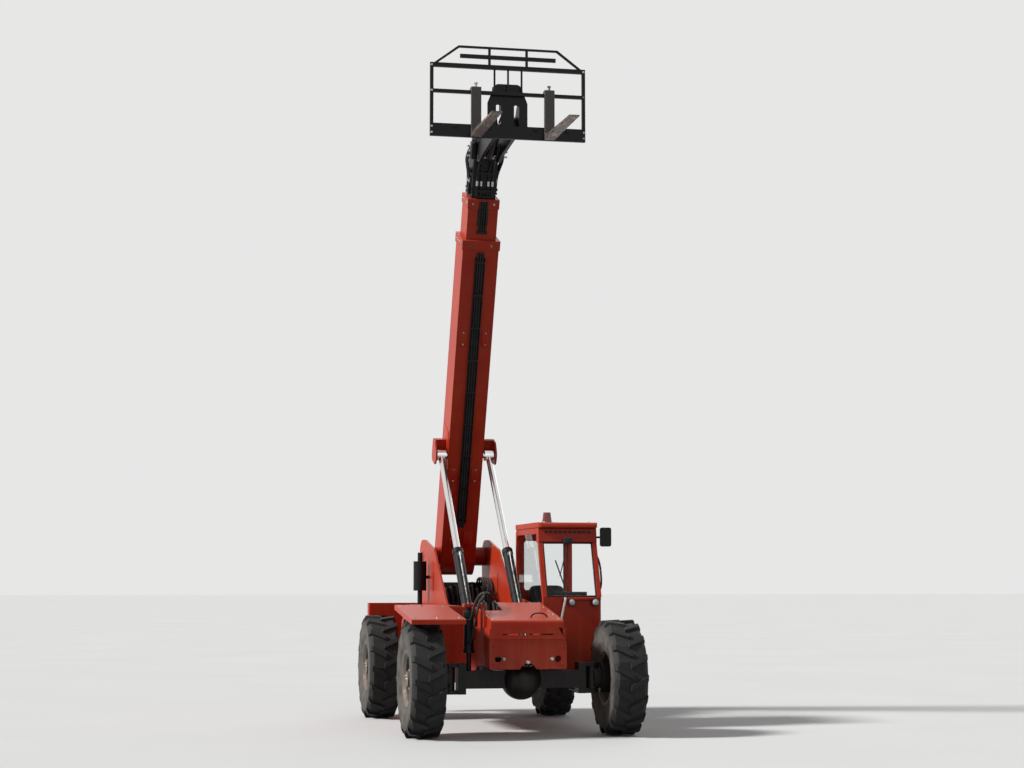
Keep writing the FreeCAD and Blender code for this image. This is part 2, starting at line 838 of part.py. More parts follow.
def axle(y):
    z = axle_height
    beam = block((-yoke_inner, yoke_inner), (y - beam_half_depth, y + beam_half_depth), (z - beam_half_height, z + beam_top))
    bowl = Part.makeSphere(bowl_radius, Vector(0, y, z - 10))
    keep = block((-230, 230), (y - 230, y + 230), (z - 260, axle_pad_height))
    pieces = [beam, bowl.common(keep)]
    for side in (-1, 1):
        x = sorted((side * (rail_inner - 60), side * (rail_outer + 20)))
        pieces.append(block(x, (y - 90, y + 90), (z, axle_pad_height)))
        x = sorted((side * (yoke_inner - 85), side * yoke_inner))
        pieces.append(block(x, (y - beam_half_depth, y + beam_half_depth), (z - yoke_gap - yoke_ear, z + yoke_gap + yoke_ear)))
        for low in (z - yoke_gap - yoke_ear, z + yoke_gap):
            middle = side * kingpin_x
            round_end = Part.makeCylinder(70, yoke_ear, Vector(middle, y, low))
            x = sorted((side * (yoke_inner - 10), middle))
            arm = block(x, (y - 70, y + 70), (low, low + yoke_ear))
            pieces += [round_end, arm]
    solid = joined(pieces)
    for side in (-1, 1):
        hole = Part.makeCylinder(
            kingpin_radius + pin_gap, 2 * (yoke_gap + yoke_ear) + 2, Vector(side * kingpin_x, y, z - yoke_gap - yoke_ear - 1)
        )
        solid = solid.cut(hole)
    return solid


spindle_radius = 75.0
hub_face = kingpin_x + 190.0
spindle_end = kingpin_x + 330.0


def knuckle(y):
    """Left-hand knuckle: kingpin stubs, drum and the spindle that the wheel turns on."""
    z = axle_height
    barrel = Part.makeCylinder(66, 2 * (yoke_gap - 4), Vector(kingpin_x, y, z - yoke_gap + 4))
    pin = Part.makeCylinder(kingpin_radius, 2 * (yoke_gap + yoke_ear), Vector(kingpin_x, y, z - yoke_gap - yoke_ear))
    drum = cross_rod(115, (kingpin_x, kingpin_x + 80), y, z)
    flange = cross_rod(165, (kingpin_x + 80, hub_face), y, z)
    spindle = cross_rod(spindle_radius, (hub_face, spindle_end), y, z)
    return joined([barrel, pin, drum, flange, spindle])


rim_width = 330.0
rim_wall = 10.0
disc_x = 30.0                  # from the tyre's middle out to the wheel disc
hand_holes = 6
hand_hole_radius = 26.0
hand_hole_circle = 205.0


def rim(y):
    """Left-hand wheel: dished rim, disc and planetary hub."""
    z = axle_height
    inner_lip = wheel_x - rim_width / 2
    outer_lip = wheel_x + rim_width / 2
    lip = rim_radius
    well = rim_radius - 35
    section = [
        (inner_lip, lip), (inner_lip + 30, well), (outer_lip - 30, well), (outer_lip, lip),
        (outer_lip, lip - rim_wall - 4), (outer_lip - 34, well - rim_wall), (inner_lip + 34, well - rim_wall),
        (inner_lip, lip - rim_wall - 4),
    ]
    points = [Vector(x, y, z + r) for x, r in section]
    barrel = Part.Face(Part.makePolygon(points + points[:1])).revolve(Vector(0, y, z), X_AXIS, 360)
    face = wheel_x + disc_x
    disc = cross_rod(well - 5, (face, face + 16), y, z)
    hub = cross_rod(150, (hub_face + 1, face + 90), y, z)
    cap = cross_rod(85, (face + 90, face + 130), y, z)
    bore = cross_rod(spindle_radius + pin_gap, (hub_face, spindle_end + 2), y, z)
    wheel = joined([barrel, disc, hub, cap]).cut(bore)
    for i in range(hand_holes):
        turn = 2 * math.pi * (i + 0.5) / hand_holes
        place = (y + hand_hole_circle * math.cos(turn), z + hand_hole_circle * math.sin(turn))
        wheel = wheel.cut(cross_rod(hand_hole_radius, (face - 1, face + 17), place[0], place[1]))
    return wheel


# Lugs: each half of the tread has its own row, set half a pitch from the other
lug_count = 16                 # in each row
lug_height = 30.0
lug_width = 62.0
lug_slant = 105.0              # how far a lug's outer end trails its inner end
lug_overlap = 14.0             # past the middle of the tread
lug_bevel = 22.0
lug_root = 20.0
shoulder = 48.0
bead_radius = rim_radius + 30.0
sidewall_radius = rim_radius + 90.0
facets = 20                    # round the carcass


def ring(section, y, z):
    """A solid of revolution about a wheel's axis, through (x, radius) corners."""
    points = [Vector(x, y, z + radius) for x, radius in section]
    return Part.Face(Part.makePolygon(points + points[:1])).revolve(Vector(0, y, z), X_AXIS, 360)


def faceted_ring(section, y, z):
    """A many-sided disc about a wheel's axis, through (x, radius) corners from one end to the other."""
    def corner(x, radius, i):
        turn = 2 * math.pi * i / facets
        return Vector(x, y + radius * math.sin(turn), z + radius * math.cos(turn))

    faces = []
    for x, radius in (section[0], section[-1]):
        rim_points = [corner(x, radius, i) for i in range(facets)]
        faces.append(Part.Face(Part.makePolygon(rim_points + rim_points[:1])))
    for (x, radius), (next_x, next_radius) in zip(section, section[1:]):
        for i in range(facets):
            quad = [
                corner(x, radius, i), corner(x, radius, i + 1),
                corner(next_x, next_radius, i + 1), corner(next_x, next_radius, i),
            ]
            faces.append(Part.Face(Part.makePolygon(quad + quad[:1])))
    return Part.makeSolid(Part.makeShell(faces))


def lug(side, y, z):
    """One lug at the top of the wheel: a slanted bar whose farthest corners lie at the tyre's radius."""
    near = wheel_x - side * lug_overlap
    edge = wheel_x + side * tyre_width / 2
    spread = (lug_slant + lug_width) / 2
    top = math.sqrt(tyre_radius ** 2 - spread ** 2)
    tread = tyre_radius - lug_height
    section = [
        (near, tread - lug_root), (near, top), (edge - side * lug_bevel, top), (edge, tread - shoulder / 2),
        (edge, tread - 1.5 * shoulder), (edge - side * 1.4 * shoulder, tread - lug_root),
    ]
    points = []
    for x, radius in section:
        trail = lug_slant * (x - near) / (edge - near)
        points.append(Vector(x, y - spread + trail, z + radius))
    return Part.Face(Part.makePolygon(points + points[:1])).extrude(Vector(0, lug_width, 0))


def tyre(y):
    """Left-hand tyre: a carcass with two rows of slanted lugs, one corner of which stands on the ground."""
    z = axle_height
    inner = wheel_x - tyre_width / 2
    outer = wheel_x + tyre_width / 2
    bead_in = wheel_x - rim_width / 2
    bead_out = wheel_x + rim_width / 2
    well = rim_radius - 35
    tread = tyre_radius - lug_height
    carcass = faceted_ring(
        [
            (bead_in, bead_radius), (inner, sidewall_radius), (inner, tread - shoulder), (inner + shoulder, tread),
            (outer - shoulder, tread), (outer, tread - shoulder), (outer, sidewall_radius), (bead_out, bead_radius),
        ],
        y,
        z,
    )
    bore = ring(
        [
            (bead_in - 1, 0), (bead_in - 1, rim_radius + 0.3), (bead_in, rim_radius + 0.3), (bead_in + 31, well + 0.3),
            (bead_out - 31, well + 0.3), (bead_out, rim_radius + 0.3), (bead_out + 1, rim_radius + 0.3), (bead_out + 1, 0),
        ],
        y,
        z,
    )
    spread = math.degrees(math.asin((lug_slant + lug_width) / 2 / tyre_radius))
    lugs = []
    for side in (-1, 1):
        bar = lug(side, y, z)
        for i in range(lug_count):
            turned = bar.copy()
            pitch = 360.0 * (i + (side + 1) / 4) / lug_count
            turned.rotate(Vector(0, y, z), X_AXIS, 180.0 - spread + pitch)
            lugs.append(turned)
    return carcass.multiFuse(lugs).cut(bore).removeSplitter()


# Cab on the left side
cab_inner = 440.0
cab_outer = 1130.0
cab_front = 860.0              # behind the front axle
cab_rear = 2370.0
cab_floor = 620.0
cab_sill = 1500.0
cab_top = 2300.0
cab_lean = 290.0               # how far the windscreen leans back from its sill to the roof
lean_slope = cab_lean / (cab_top - cab_sill)
side_sill_drop = 120.0         # by which the boom-side window dips at its front
visor_height = 170.0
visor_reach = 70.0
roof_height = 60.0
post = 60.0
hoop_width = 50.0
header = 70.0
rear_rim = 90.0                # of the panel round the rear window
panel = 25.0
glass = 6.0
pane_gap = 0.3
window_radius = 70.0
door_front = 1000.0
door_rear = 2230.0
door_gap = 6.0
hinge_x = cab_outer + 14.0
hinge_y = behind(door_rear)
hinge_radius = 14.0
hinge_pin_radius = 8.0
hinge_length = 40.0
hinge_heights = (880.0, 1300.0)
cab_x = (cab_inner, cab_outer)
cab_y = (behind(cab_front), behind(cab_rear))
cab_middle = (cab_inner + cab_outer) / 2


def cab_tub():
    """Lower body of the cab: floor, walls up to the sill, and the opening for the door."""
    x = cab_x
    y = cab_y
    shell = flat_profile([(x[0], y[0], 8), (x[1], y[0], 40), (x[1], y[1], 8), (x[0], y[1], 8)], (cab_floor, cab_sill))
    room = block(
        (x[0] + panel, x[1] - panel), (y[0] + panel, y[1] - panel), (cab_floor + panel, cab_sill + 1)
    )
    opening = block(
        (x[1] - panel - 1, x[1] + 1), (behind(door_front), behind(door_rear)), (cab_floor + 130, cab_sill + 1)
    )
    dip = side_plate(
        [
            (y[0] + post, cab_sill - side_sill_drop, 30),
            (y[1] - post, cab_sill - 10, 0),
            (y[1] - post, cab_sill + 1, 0),
            (y[0] + post, cab_sill + 1, 0),
        ],
        (x[0] - 1, x[0] + panel + 1),
    )
    bearer = block((rail_outer, cab_inner), (y[0] + 150, y[1] - 150), (cab_floor, cab_floor + 120))
    pieces = [shell.cut(room).cut(opening).cut(dip), bearer]
    for z in hinge_heights:
        pin_foot = Vector(hinge_x, hinge_y, z)
        pieces.append(Part.makeCylinder(hinge_pin_radius, 2 * hinge_length, pin_foot))
        pieces.append(Part.makeCylinder(hinge_radius, hinge_length, pin_foot))
        pieces.append(block((cab_outer - panel, hinge_x), (hinge_y, hinge_y + 60), (z, z + hinge_length)))
    return joined(pieces)


def cab_side(x):
    """Hoop over one side window, with a front post that leans back."""
    y = cab_y
    hoop = side_plate(
        [(y[0], cab_sill, 0), (y[1], cab_sill, 0), (y[1], cab_top, 70), (y[0] + cab_lean, cab_top, 50)], x
    )
    inner_front = y[0] + post + 4
    opening = side_plate(
        [
            (inner_front - lean_slope, cab_sill - 1, 0),
            (y[1] - post, cab_sill - 1, 0),
            (y[1] - post, cab_top - header, 60),
            (inner_front + lean_slope * (cab_top - header - cab_sill), cab_top - header, 60),
        ],
        (x[0] - 1, x[1] + 1),
    )
    return hoop.cut(opening)


def rear_window(inset, depth):
    """The rear window's rounded outline, drawn in by an inset, as deep as the pair of Y values."""
    x = (cab_inner + rear_rim + inset, cab_outer - rear_rim - inset)
    z = (cab_sill + rear_rim - 30 + inset, cab_top - rear_rim - 30 - inset)
    radius = window_radius - inset
    return front_profile([(x[0], z[0], radius), (x[1], z[0], radius), (x[1], z[1], radius), (x[0], z[1], radius)], depth)


def cab_frame():
    """Two side hoops, the panel round the rear window and the band over the windscreen."""
    x = cab_x
    y = cab_y
    depth = (y[1] - 40, y[1])
    rear = front_profile([(x[0], cab_sill, 0), (x[1], cab_sill, 0), (x[1], cab_top, 0), (x[0], cab_top, 0)], depth)
    window = rear_window(0, (depth[0] - 1, depth[1] + 1))
    rear = rear.cut(window).common(block(x, depth, (cab_sill, cab_top - 30)))
    visor_y = (y[0] + cab_lean - visor_reach, y[0] + cab_lean + post)
    visor = side_plate(
        [
            (visor_y[0], cab_top - visor_height, 10), (visor_y[1], cab_top - visor_height, 0),
            (visor_y[1], cab_top, 0), (visor_y[0] + 20, cab_top, 20),
        ],
        x,
    )
    sides = [cab_side((x[0], x[0] + hoop_width)), cab_side((x[1] - hoop_width, x[1]))]
    return joined(sides + [rear, visor])


def cab_roof():
    x = (cab_inner - 10, cab_outer + 10)
    y = (cab_y[0] + cab_lean - visor_reach - 30, cab_y[1] + 10)
    z = (cab_top, cab_top + roof_height)
    plan = flat_profile([(x[0], y[0], 50), (x[1], y[0], 50), (x[1], y[1], 50), (x[0], y[1], 50)], z)
    bow = side_plate([(y[0], z[0], 0), (y[1], z[0], 0), (y[1], z[1], 45), (y[0], z[1], 45)], x)
    return plan.common(bow)


def cab_glass():
    """Panes in the windscreen, the boom-side window and the rear window."""
    x = (cab_inner + hoop_width, cab_outer - hoop_width)
    y = cab_y
    top = cab_top - visor_height
    foot = y[0] + panel
    head = foot + lean_slope * (top - cab_sill)
    screen = side_plate([(foot, cab_sill, 0), (foot + glass, cab_sill, 0), (head + glass, top, 0), (head, top, 0)], x)
    front = y[0] + post + 4 + pane_gap
    back = y[1] - post - pane_gap
    high = cab_top - header - pane_gap
    low_front = cab_sill - side_sill_drop + 2 * pane_gap
    visor_back = y[0] + cab_lean + post + pane_gap
    corner = 4.0               # clears the hoop's rounded corner behind the visor
    side_pane = side_plate(
        [
            (front, low_front, 30),
            (back, cab_sill - 10 + 2 * pane_gap, 0),
            (back, high, 60),
            (visor_back + 6 * corner, high, 0),
            (visor_back, high - corner, 0),
            (visor_back, top - pane_gap, 0),
            (front + lean_slope * (top - pane_gap - cab_sill), top - pane_gap, 0),
            (front, cab_sill, 0),
        ],
        (cab_inner + 15, cab_inner + 15 + glass),
    )
    rear_pane = rear_window(pane_gap, (y[1] - 25, y[1] - 25 + glass))
    return apart([screen, side_pane, rear_pane])


# Step under the door
step_behind = (1380.0, 1760.0)
step_height = 400.0
step_inner = 960.0
step_reach = 1150.0


def cab_step():
    y = (behind(step_behind[0]), behind(step_behind[1]))
    tread = block((step_inner, step_reach), y, (step_height, step_height + 12))
    pieces = [tread]
    for low in (y[0], y[1] - 12):
        strap = front_profile(
            [
                (step_inner, step_height, 0), (step_reach, step_height, 0), (step_reach, step_height + 40, 0),
                (step_inner + 60, cab_floor, 0), (step_inner, cab_floor, 0),
            ],
            (low, low + 12),
        )
        pieces.append(strap)
    return joined(pieces)


# Seat: half widths, lengths and heights over the cab's floor
seat_setback = 620.0
seat_half = 240.0
seat_length = 460.0
seat_base_half = 170.0
seat_height = 330.0
cushion_height = 110.0
backrest_top = 1010.0


def seat():
    y = behind(cab_rear) - seat_setback
    floor = cab_floor + panel
    low = cab_floor + seat_height
    base = block((cab_middle - seat_base_half, cab_middle + seat_base_half), (y + 60, y + 400), (floor, low))
    left = cab_middle + seat_half
    right = cab_middle - seat_half
    cushion = flat_profile(
        [(right, y, 60), (left, y, 60), (left, y + seat_length, 60), (right, y + seat_length, 60)],
        (low, low + cushion_height),
    )
    top = cab_floor + backrest_top
    back = front_profile(
        [(right + 10, low + 70, 40), (left - 10, low + 70, 40), (left - 40, top, 80), (right + 40, top, 80)],
        (y + seat_length - 60, y + seat_length + 40),
    )
    return joined([base, cushion, back])


# Steering column and dashboard
steering_top = 780.0           # the steering wheel's height over the cab's floor
steering_foot = 90.0           # from the cab's front to the column's foot
steering_reach = 240.0         # by which the column leans back
column_cover = 420.0           # height of its cover over the cab's floor
dash_depth = 380.0
steering_radius = 185.0
dash_half = 190.0
dash_top = 1560.0


def steering_column():
    foot = Vector(cab_middle, behind(cab_front) + steering_foot, cab_floor + panel)
    top = Vector(cab_middle, foot.y + steering_reach, cab_floor + steering_top)
    below = block((cab_middle - 90, cab_middle + 90), (foot.y - 90, foot.y + 90), (foot.z - 90, foot.z))
    column = rod(40, foot, top).cut(below)
    way = top.sub(foot).normalize()
    wheel = Part.makeTorus(steering_radius, 16, top, way)
    hub = rod(60, top.sub(Vector(way).multiply(30)), top.add(Vector(way).multiply(14)))
    pieces = [wheel, column, hub]
    for direction in (X_AXIS, X_AXIS.negative(), way.cross(X_AXIS)):
        pieces.append(rod(11, top, top.add(Vector(direction).multiply(steering_radius))))
    pieces.append(block((cab_middle - 90, cab_middle + 90), (foot.y - 60, foot.y + 90), (foot.z, cab_floor + column_cover)))
    y = (behind(cab_front) + 72, behind(cab_front) + 132)
    z = (cab_floor + column_cover - 20, dash_top - dash_depth + 20)
    riser = block((cab_middle - 60, cab_middle + 60), y, z)
    dash = side_plate([(y[0], dash_top - dash_depth, 0), (y[1], dash_top - dash_depth, 20), (y[1], dash_top, 20), (y[0], dash_top, 10)],
                      (cab_middle - dash_half, cab_middle + dash_half))
    return joined(pieces + [riser, dash])


def cab_door():
    """Lower half door, hinged at its rear edge."""
    x = (cab_outer - panel, cab_outer)
    y = (behind(door_front) + door_gap, behind(door_rear) - door_gap)
    z = (cab_floor + 130 + door_gap, cab_sill - door_gap)
    skin = side_plate([(y[0], z[0], 60), (y[1], z[0], 20), (y[1], z[1], 20), (y[0], z[1], 60)], x)
    pieces = [skin]
    bores = []
    for low in hinge_heights:
        start = low + hinge_length + seat_gap
        long = hinge_length - seat_gap
        pieces.append(Part.makeCylinder(hinge_radius, long, Vector(hinge_x, hinge_y, start)))
        pieces.append(block((cab_outer, hinge_x), (hinge_y - 60, hinge_y), (start, start + long)))
        bores.append(Part.makeCylinder(hinge_pin_radius + pin_gap, long + 2, Vector(hinge_x, hinge_y, start - 1)))
    return joined(pieces).cut(bores[0]).cut(bores[1])


# Engine pod on the right side, low beside the frame
pod_inner = -rail_outer - 5
pod_outer = -950.0
pod_front = 880.0
pod_rear = 2450.0
pod_floor = 690.0
pod_sill = 1180.0
pod_bevel = 110.0              # of the tray's lower outer edge
pod_wall = 12.0
wall_side_gap = 6.0
hood_height = 1400.0
hood_tumble = 60.0             # how far the hood's outer side leans in
hood_gap = seat_gap
louvre_count = 9
louvre_length = 300.0
louvre_pitch = 44.0
pod_y = (behind(pod_front), behind(pod_rear))


def engine_pod():
    """Open-topped tray that holds the engine beside the frame, with the wall that closes the hood's rear."""
    x = (pod_outer, pod_inner)
    y = pod_y
    outer = front_profile(
        [
            (x[0] + pod_bevel, pod_floor, 0), (x[1], pod_floor, 0), (x[1], pod_sill, 0), (x[0], pod_sill, 0),
            (x[0], pod_floor + pod_bevel, 40),
        ],
        y,
    )
    inner = front_profile(
        [
            (x[0] + pod_bevel + pod_wall / 2, pod_floor + pod_wall, 0), (x[1] - pod_wall, pod_floor + pod_wall, 0),
            (x[1] - pod_wall, pod_sill + 1, 0), (x[0] + pod_wall, pod_sill + 1, 0),
            (x[0] + pod_wall, pod_floor + pod_bevel + pod_wall / 2, 30),
        ],
        (y[0] + pod_wall, y[1] - pod_wall),
    )
    bearer = block((pod_inner, -rail_outer), (y[0] + 100, y[1] - 100), (pod_floor + 30, pod_floor + 150))
    wall_x = (x[0] + hood_tumble + pod_wall + wall_side_gap, x[1] - pod_wall - wall_side_gap)
    wall = block(wall_x, (y[1] - 2 * pod_wall, y[1] - pod_wall), (pod_sill - 40, hood_height - 30))
    return joined([outer.cut(inner), bearer, wall])


engine_side_room = 80.0
engine_front_room = 170.0
engine_rear_room = 200.0
engine_height = 620.0


def engine():
    x = (pod_outer + engine_side_room, pod_inner - engine_side_room)
    y = (pod_y[0] + engine_front_room, pod_y[1] - engine_rear_room)
    low = pod_floor + pod_wall
    lift = 40.0
    lump = flat_profile([(x[0], y[0], 40), (x[1], y[0], 40), (x[1], y[1], 40), (x[0], y[1], 40)], (low + lift, low + engine_height))
    feet = [block((x[0] + 40, x[1] - 40), (place, place + 80), (low, low + lift + 1)) for place in (y[0] + 60, y[1] - 140)]
    return joined([lump] + feet)


def engine_hood():
    """Lid of the pod with louvres in its outer side: it opens about its rear edge."""
    x = (pod_outer, pod_inner)
    y = pod_y
    low = pod_sill + hood_gap
    w = pod_wall
    top = hood_height
    outer = front_profile([(x[0], low, 0), (x[1], low, 0), (x[1], top, 25), (x[0] + hood_tumble, top, 60)], y)
    inner = front_profile(
        [(x[0] + w, low - 1, 0), (x[1] - w, low - 1, 0), (x[1] - w, top - w, 13), (x[0] + hood_tumble + w, top - w, 50)],
        (y[0] + w, y[1] + 1),
    )
    lid = outer.cut(inner)
    start = (y[0] + y[1] - (louvre_count - 1) * louvre_pitch) / 2
    for i in range(louvre_count):
        place = start + i * louvre_pitch
        lid = lid.cut(block((x[0] - 1, x[0] + hood_tumble), (place - 9, place + 9), (low + 40, low + 130)))
    for i in range(3):
        place = low + 50 + i * 46
        lid = lid.cut(block((x[0] + 110, x[1] - 110), (y[0] - 1, y[0] + w + 1), (place, place + 18)))
    return lid


# Flat guard over the right front tyre: its ends are given behind the axle
fender_x = (-wheel_x - tyre_width / 2, -700.0)
fender_ends = (-500.0, 745.0)
fender_front = 1270.0
fender_rear = 1410.0
fender_sheet = 8.0
fender_lip = 45.0
fender_arm_y = (500.0, 560.0)


def front_fender():
    """Flat guard that climbs to the rear, with a turned-down lip, on an arm from the frame."""
    y = (behind(fender_ends[0]), behind(fender_ends[1]))
    slope = (fender_rear - fender_front) / (y[1] - y[0])
    lip_y = y[0] + fender_sheet
    sheet = side_plate(
        [
            (y[0], fender_front - fender_lip, 0),
            (lip_y, fender_front - fender_lip, 0),
            (lip_y, fender_front, 0),
            (y[1], fender_rear, 0),
            (y[1], fender_rear + fender_sheet, 0),
            (y[0], fender_front + fender_sheet, 12),
        ],
        fender_x,
    )
    side_lip = side_plate(
        [
            (y[0], fender_front - fender_lip, 0), (y[1], fender_rear - fender_lip, 0),
            (y[1], fender_rear + 1, 0), (y[0], fender_front + 1, 0),
        ],
        (fender_x[0], fender_x[0] + fender_sheet),
    )
    arm_y = (behind(fender_arm_y[0]), behind(fender_arm_y[1]))
    under = fender_front + slope * (arm_y[0] - y[0])
    arm = block((fender_x[1] - 60, -rail_outer), arm_y, (under - 50, under + fender_sheet / 2))
    foot_y = (arm_y[0] - 60, arm_y[1] + 60)
    foot = block((-rail_outer - 12, -rail_outer), foot_y, (rail_low_top - 150, under + fender_sheet / 2))
    return joined([sheet, side_lip, arm, foot])


# Cast weight across the tail
weight_behind_axle = 835.0
weight_half = 1120.0
weight_corner = 120.0
weight_low = 760.0
weight_top = 1400.0


def counterweight():
    """Cast weight behind the rear tyres, set round the frame's rails."""
    front = rear_axle_y + weight_behind_axle
    cast = flat_profile(
        [
            (-weight_half, front, 20), (weight_half, front, 20), (weight_half, tail_y - weight_corner, 60),
            (weight_half - weight_corner, tail_y, 60), (-weight_half + weight_corner, tail_y, 60),
            (-weight_half, tail_y - weight_corner, 60),
        ],
        (weight_low, weight_top),
    )
    inner = block((-rail_outer, rail_outer), (front - 1, tail_y - 60), (weight_low - 1, weight_top + 1))
    return cast.cut(inner)


def boom_pivot_pin():
    return cross_rod(pivot_pin_radius, (-rail_outer - 20, rail_outer + 20), pivot_y, pivot_height)


def sway_cylinder():
    """Upright cylinder that levels the frame on the front axle."""
    x = -sway_x
    y = front_axle_y + sway_behind
    low = Vector(x, y, axle_height + beam_top)
    top = Vector(x, y, sway_top)
    barrel = rod(sway_barrel_radius, Vector(x, y, low.z + 190), Vector(x, y, sway_top - 40))
    return joined([barrel, rod(sway_stem_radius, low, top)])


# Mirror beside the windscreen
mirror_drop = 110.0            # of its middle below the top of the cab
mirror_height = cab_top - mirror_drop
mirror_half_height = 110.0
mirror_width = 130.0


def mirror():
    y = cab_y[0] + lean_slope * (mirror_height - cab_sill) + post / 2
    foot = Vector(cab_outer, y, mirror_height)
    bend = foot.add(Vector(40, 0, 0))
    end = Vector(cab_outer + 85, cab_y[0] + 150, mirror_height)
    arm = joined([rod(12, foot, bend.add(Vector(6, 0, 0))), rod(12, bend, end)])
    x = (cab_outer + 20, cab_outer + 20 + mirror_width)
    z = (mirror_height - mirror_half_height, mirror_height + mirror_half_height)
    head = front_profile([(x[0], z[0], 25), (x[1], z[0], 25), (x[1], z[1], 25), (x[0], z[1], 25)], (end.y - 30, end.y + 5))
    return joined([arm, head])


def beacon():
    y = behind(cab_rear) - 200
    foot = Vector(cab_middle, y, cab_top + roof_height)
    base = Part.makeCylinder(70, 30, foot)
    lens = Part.makeCone(60, 44, 120, foot.add(Vector(0, 0, 30)))
    return joined([base, lens])


# Exhaust: a pipe from the pod back to a silencer on the right tower
silencer_x = -540.0
silencer_behind = 3620.0
silencer_radius = 82.0
silencer_low = 1560.0
silencer_top = 1930.0
exhaust_pipe = 30.0
exhaust_run = 1270.0


def exhaust():
    y = behind(silencer_behind)
    start = Vector(silencer_x, pod_y[1] - pod_wall, exhaust_run)
    corner = Vector(silencer_x, y, exhaust_run)
    can = rod(silencer_radius, Vector(silencer_x, y, silencer_low), Vector(silencer_x, y, silencer_top))
    outlet = rod(exhaust_pipe, Vector(silencer_x, y, silencer_top - 5), Vector(silencer_x, y, silencer_top + 110))
    rise = rod(exhaust_pipe, corner, Vector(silencer_x, y, silencer_low + 5))
    bend = Part.makeSphere(exhaust_pipe, corner)
    bracket = block((silencer_x, -rail_outer), (y - 25, y + 25), (silencer_low + 150, silencer_low + 190))
    return joined([rod(exhaust_pipe, start, corner), bend, rise, can, outlet, bracket])


save("frame_right", right_rail())
save("frame_left", rail((rail_inner, rail_outer)))
save("front_plate", front_plate())
save("nose_deck", nose_deck())
save("frame_belly", belly())
save("drive_line", drive_line())
save("valve_block", valve_block())
save("lift_base_pin", lift_base_pin())
save("boom_pivot_pin", boom_pivot_pin())
save("counterweight", counterweight())
save("sway_cylinder", sway_cylinder())
save("front_fender", front_fender())
save("engine_pod", engine_pod())
save("engine", engine())
save("engine_hood", engine_hood())
save("exhaust", exhaust())
save("cab_tub", cab_tub())
save("cab_frame", cab_frame())
save("cab_roof", cab_roof())
save("cab_door", cab_door())
save("cab_glass", cab_glass())
save("cab_step", cab_step())
save("seat", seat())
save("steering_column", steering_column())
save("mirror", mirror())
save("beacon", beacon())
save("boom_outer", boom_outer())
save("hose_tray", hose_tray())
save("boom_mid", boom_mid())
save("boom_fly", boom_fly())
save("boom_head", boom_head())
save("head_pins", head_pins())
save("lift_barrels", apart([lift_barrel(-1), lift_barrel(1)]))
save("lift_rods", apart([lift_rod(-1), lift_rod(1)]))
save("tilt_barrel", tilt_barrel())
save("tilt_rod", tilt_rod())
save("coupler", coupler())
save("carriage_frame", carriage_frame())
save("load_guard", load_guard())
save("fork_right", fork(fork_right_x))
save("fork_left", fork(fork_left_x))
for end, axle_y in (("front", front_axle_y), ("rear", rear_axle_y)):
    save(end + "_axle", axle(axle_y))
    for side, turned in (("left", False), ("right", True)):
        for name, make in (("knuckle", knuckle), ("rim", rim), ("tyre", tyre)):
            shape = make(axle_y)
            save(f"{name}_{end}_{side}", mirrored(shape) if turned else shape)
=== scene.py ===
# %% [markdown]
# This lesson dresses a telehandler in Blender. The machine's solid parts come ready made, in metres,
# with the ground at Z = 0. It faces -Y, and its own left side, where the cab is, lies at +X. We never
# move or reshape those parts: we give them finishes, and we add the small pieces that a maker bolts,
# clips or glues onto them.

# %% The frame
import bpy
import json
import math
import bmesh
from mathutils import Matrix, Vector, noise


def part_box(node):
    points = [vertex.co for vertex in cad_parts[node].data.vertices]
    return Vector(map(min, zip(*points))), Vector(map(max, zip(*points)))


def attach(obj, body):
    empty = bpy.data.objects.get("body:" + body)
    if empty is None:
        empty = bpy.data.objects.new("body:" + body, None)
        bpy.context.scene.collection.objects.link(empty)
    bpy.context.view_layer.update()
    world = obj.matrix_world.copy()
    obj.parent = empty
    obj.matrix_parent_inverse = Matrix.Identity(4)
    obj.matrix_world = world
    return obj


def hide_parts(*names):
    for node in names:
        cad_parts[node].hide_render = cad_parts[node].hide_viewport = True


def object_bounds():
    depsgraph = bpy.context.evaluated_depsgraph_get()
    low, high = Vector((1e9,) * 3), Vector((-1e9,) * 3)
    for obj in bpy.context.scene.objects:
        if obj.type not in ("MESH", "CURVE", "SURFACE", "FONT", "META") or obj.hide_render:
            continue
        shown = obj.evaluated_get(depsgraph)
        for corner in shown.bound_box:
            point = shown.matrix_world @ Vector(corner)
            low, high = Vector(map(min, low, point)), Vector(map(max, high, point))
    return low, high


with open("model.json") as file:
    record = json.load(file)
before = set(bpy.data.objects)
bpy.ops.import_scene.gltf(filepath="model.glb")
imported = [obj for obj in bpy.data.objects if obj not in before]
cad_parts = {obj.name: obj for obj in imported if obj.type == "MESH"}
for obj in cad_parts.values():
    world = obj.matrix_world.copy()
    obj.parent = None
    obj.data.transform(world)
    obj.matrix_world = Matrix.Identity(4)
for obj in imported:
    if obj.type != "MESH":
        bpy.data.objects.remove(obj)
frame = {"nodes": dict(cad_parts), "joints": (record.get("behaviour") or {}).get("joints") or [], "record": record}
nodes = frame["nodes"]
solid_low, solid_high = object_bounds()
print("solid model", tuple(round(v, 3) for v in solid_low), tuple(round(v, 3) for v in solid_high))

# %% [markdown]
# A few places come up again and again, so they are measured once from the solids: the two axles, the
# wheels, the line of the boom. Measuring keeps every added piece seated on what carries it.

# %% Places measured from the solids


def middle(node):
    """The centre of a solid's box."""
    low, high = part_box(node)
    return (low + high) / 2


front_hub = middle("rim_front_left")
rear_hub = middle("rim_rear_left")
wheel_middle = {side: middle(f"tyre_front_{side}").x for side in ("left", "right")}
tyre_radius = (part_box("tyre_front_left")[1].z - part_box("tyre_front_left")[0].z) / 2
boom_pivot = middle("boom_pivot_pin")
lift_pin = middle("lift_base_pin")
print("front axle at y", round(front_hub.y, 3), "tyre radius", round(tyre_radius, 3))

